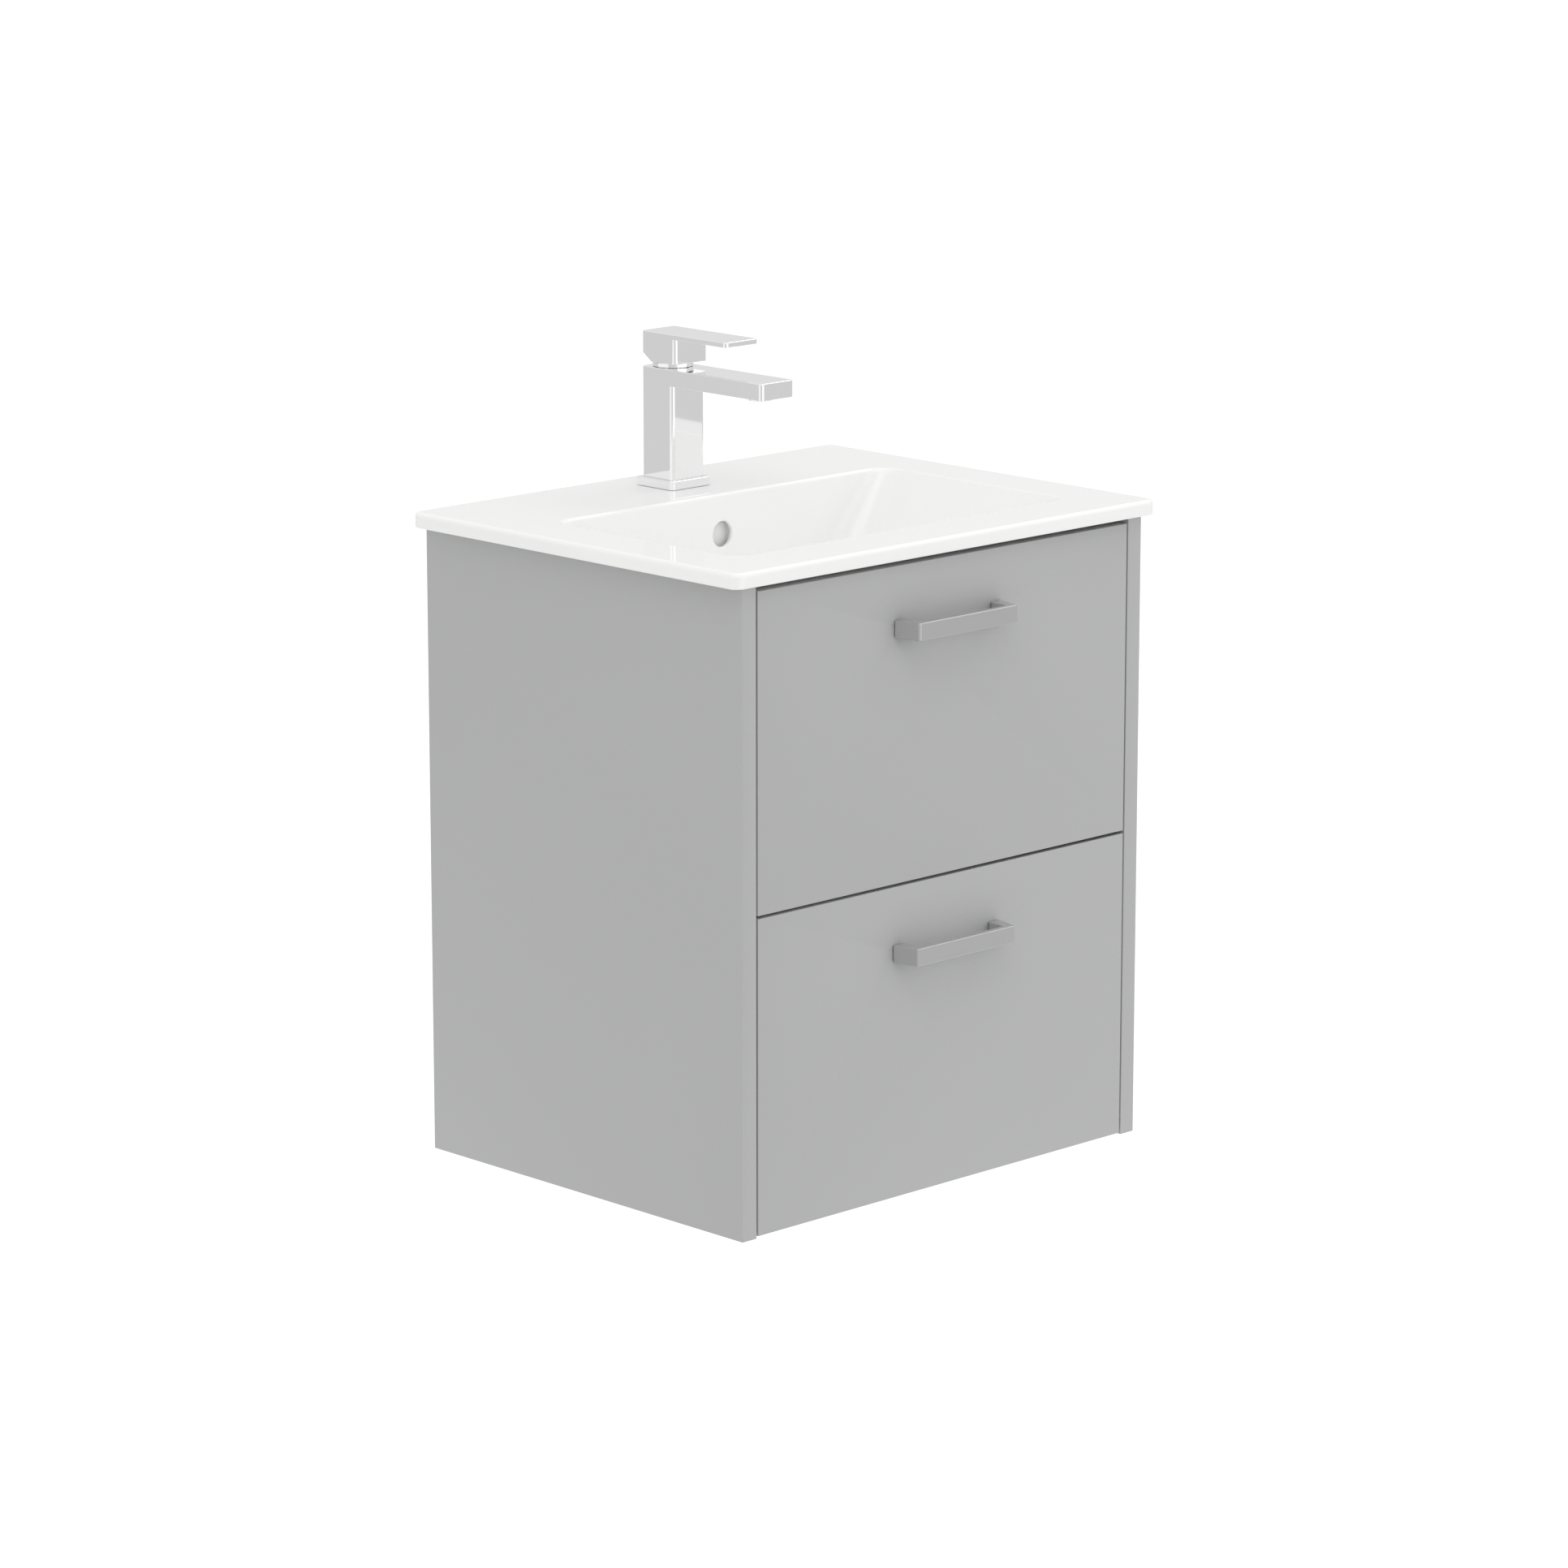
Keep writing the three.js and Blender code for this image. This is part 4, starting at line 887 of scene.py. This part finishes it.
plate_thickness = 0.005
block_length = 0.047
chamfer_run = 0.014
chamfer_rise = 0.0098
lever = soft_block("tap_lever_and_plate", (lever_low.x, lever_high.x),
                   (lever_high.y - block_length, lever_high.y),
                   (lever_base, lever_high.z - 0.002), tap_edge, tap_ease, chrome, foot_ease)
lever_plate = soft_block("lever_plate", (lever_low.x, lever_high.x), (lever_low.y, lever_high.y),
                         (lever_high.z - plate_thickness, lever_high.z),
                         tap_edge, tap_ease, chrome, foot_ease)
wedge_low = (lever_high.y - chamfer_run, lever_base)
wedge_high = (lever_high.y, lever_base + chamfer_rise)
wedge_y = np.array([wedge_low[0] - 0.01, wedge_high[0] + 0.01, wedge_high[0] + 0.01])
slope = chamfer_rise / chamfer_run
wedge_z = np.array([wedge_low[1] - 0.01 * slope, wedge_low[1] - 0.01 * slope,
                    wedge_high[1] + 0.01 * slope])
wedge_rings = np.array([np.column_stack([np.full(3, x), wedge_y, wedge_z]) for x in (-0.04, 0.04)])
wedge = surface("wedge", wedge_rings, chrome)
socket_swing = np.linspace(0, math.pi, 40)
socket = turned("socket", np.column_stack([
    (dome_radius + 0.0006) * np.sin(socket_swing) + 0.0001 * (np.sin(socket_swing) < 0.01),
    pivot_height - (dome_radius + 0.0006) * np.cos(socket_swing)]), (0.0, tap_y, 0.0), chrome, steps=96)
stem = soft_block("stem", (-0.004, 0.004), (tap_y - 0.004, tap_y + 0.004),
                  (pivot_height - 0.0054, lever_high.z - 0.006), 0.0006, 0.0004, chrome)
shaped(lever, [lever_plate], [wedge, socket])
shaped(lever, [stem], [])
crisp(lever)
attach(lever, "tap_lever")
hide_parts("tap_lever")


def moulded_plastic():
    """Off-white moulding, slightly uneven in sheen."""
    finish = Finish("moulded_plastic")
    sheen = finish.noise(90.0, 2.0)
    finish.tone(sheen, (0.74, 0.74, 0.71), (0.80, 0.80, 0.77))
    finish.set(roughness=0.4 + 0.12 * sheen)
    finish.relief(sheen, 0.00003, 0.3)
    return finish.material


plastic = moulded_plastic()
dress(plastic, 0.0003, "tap_cartridge")
dress(brass, 0.0003, "tap_spindle")
dress(zinc, 0.0003, "tap_clamp_plate", "tap_stud")
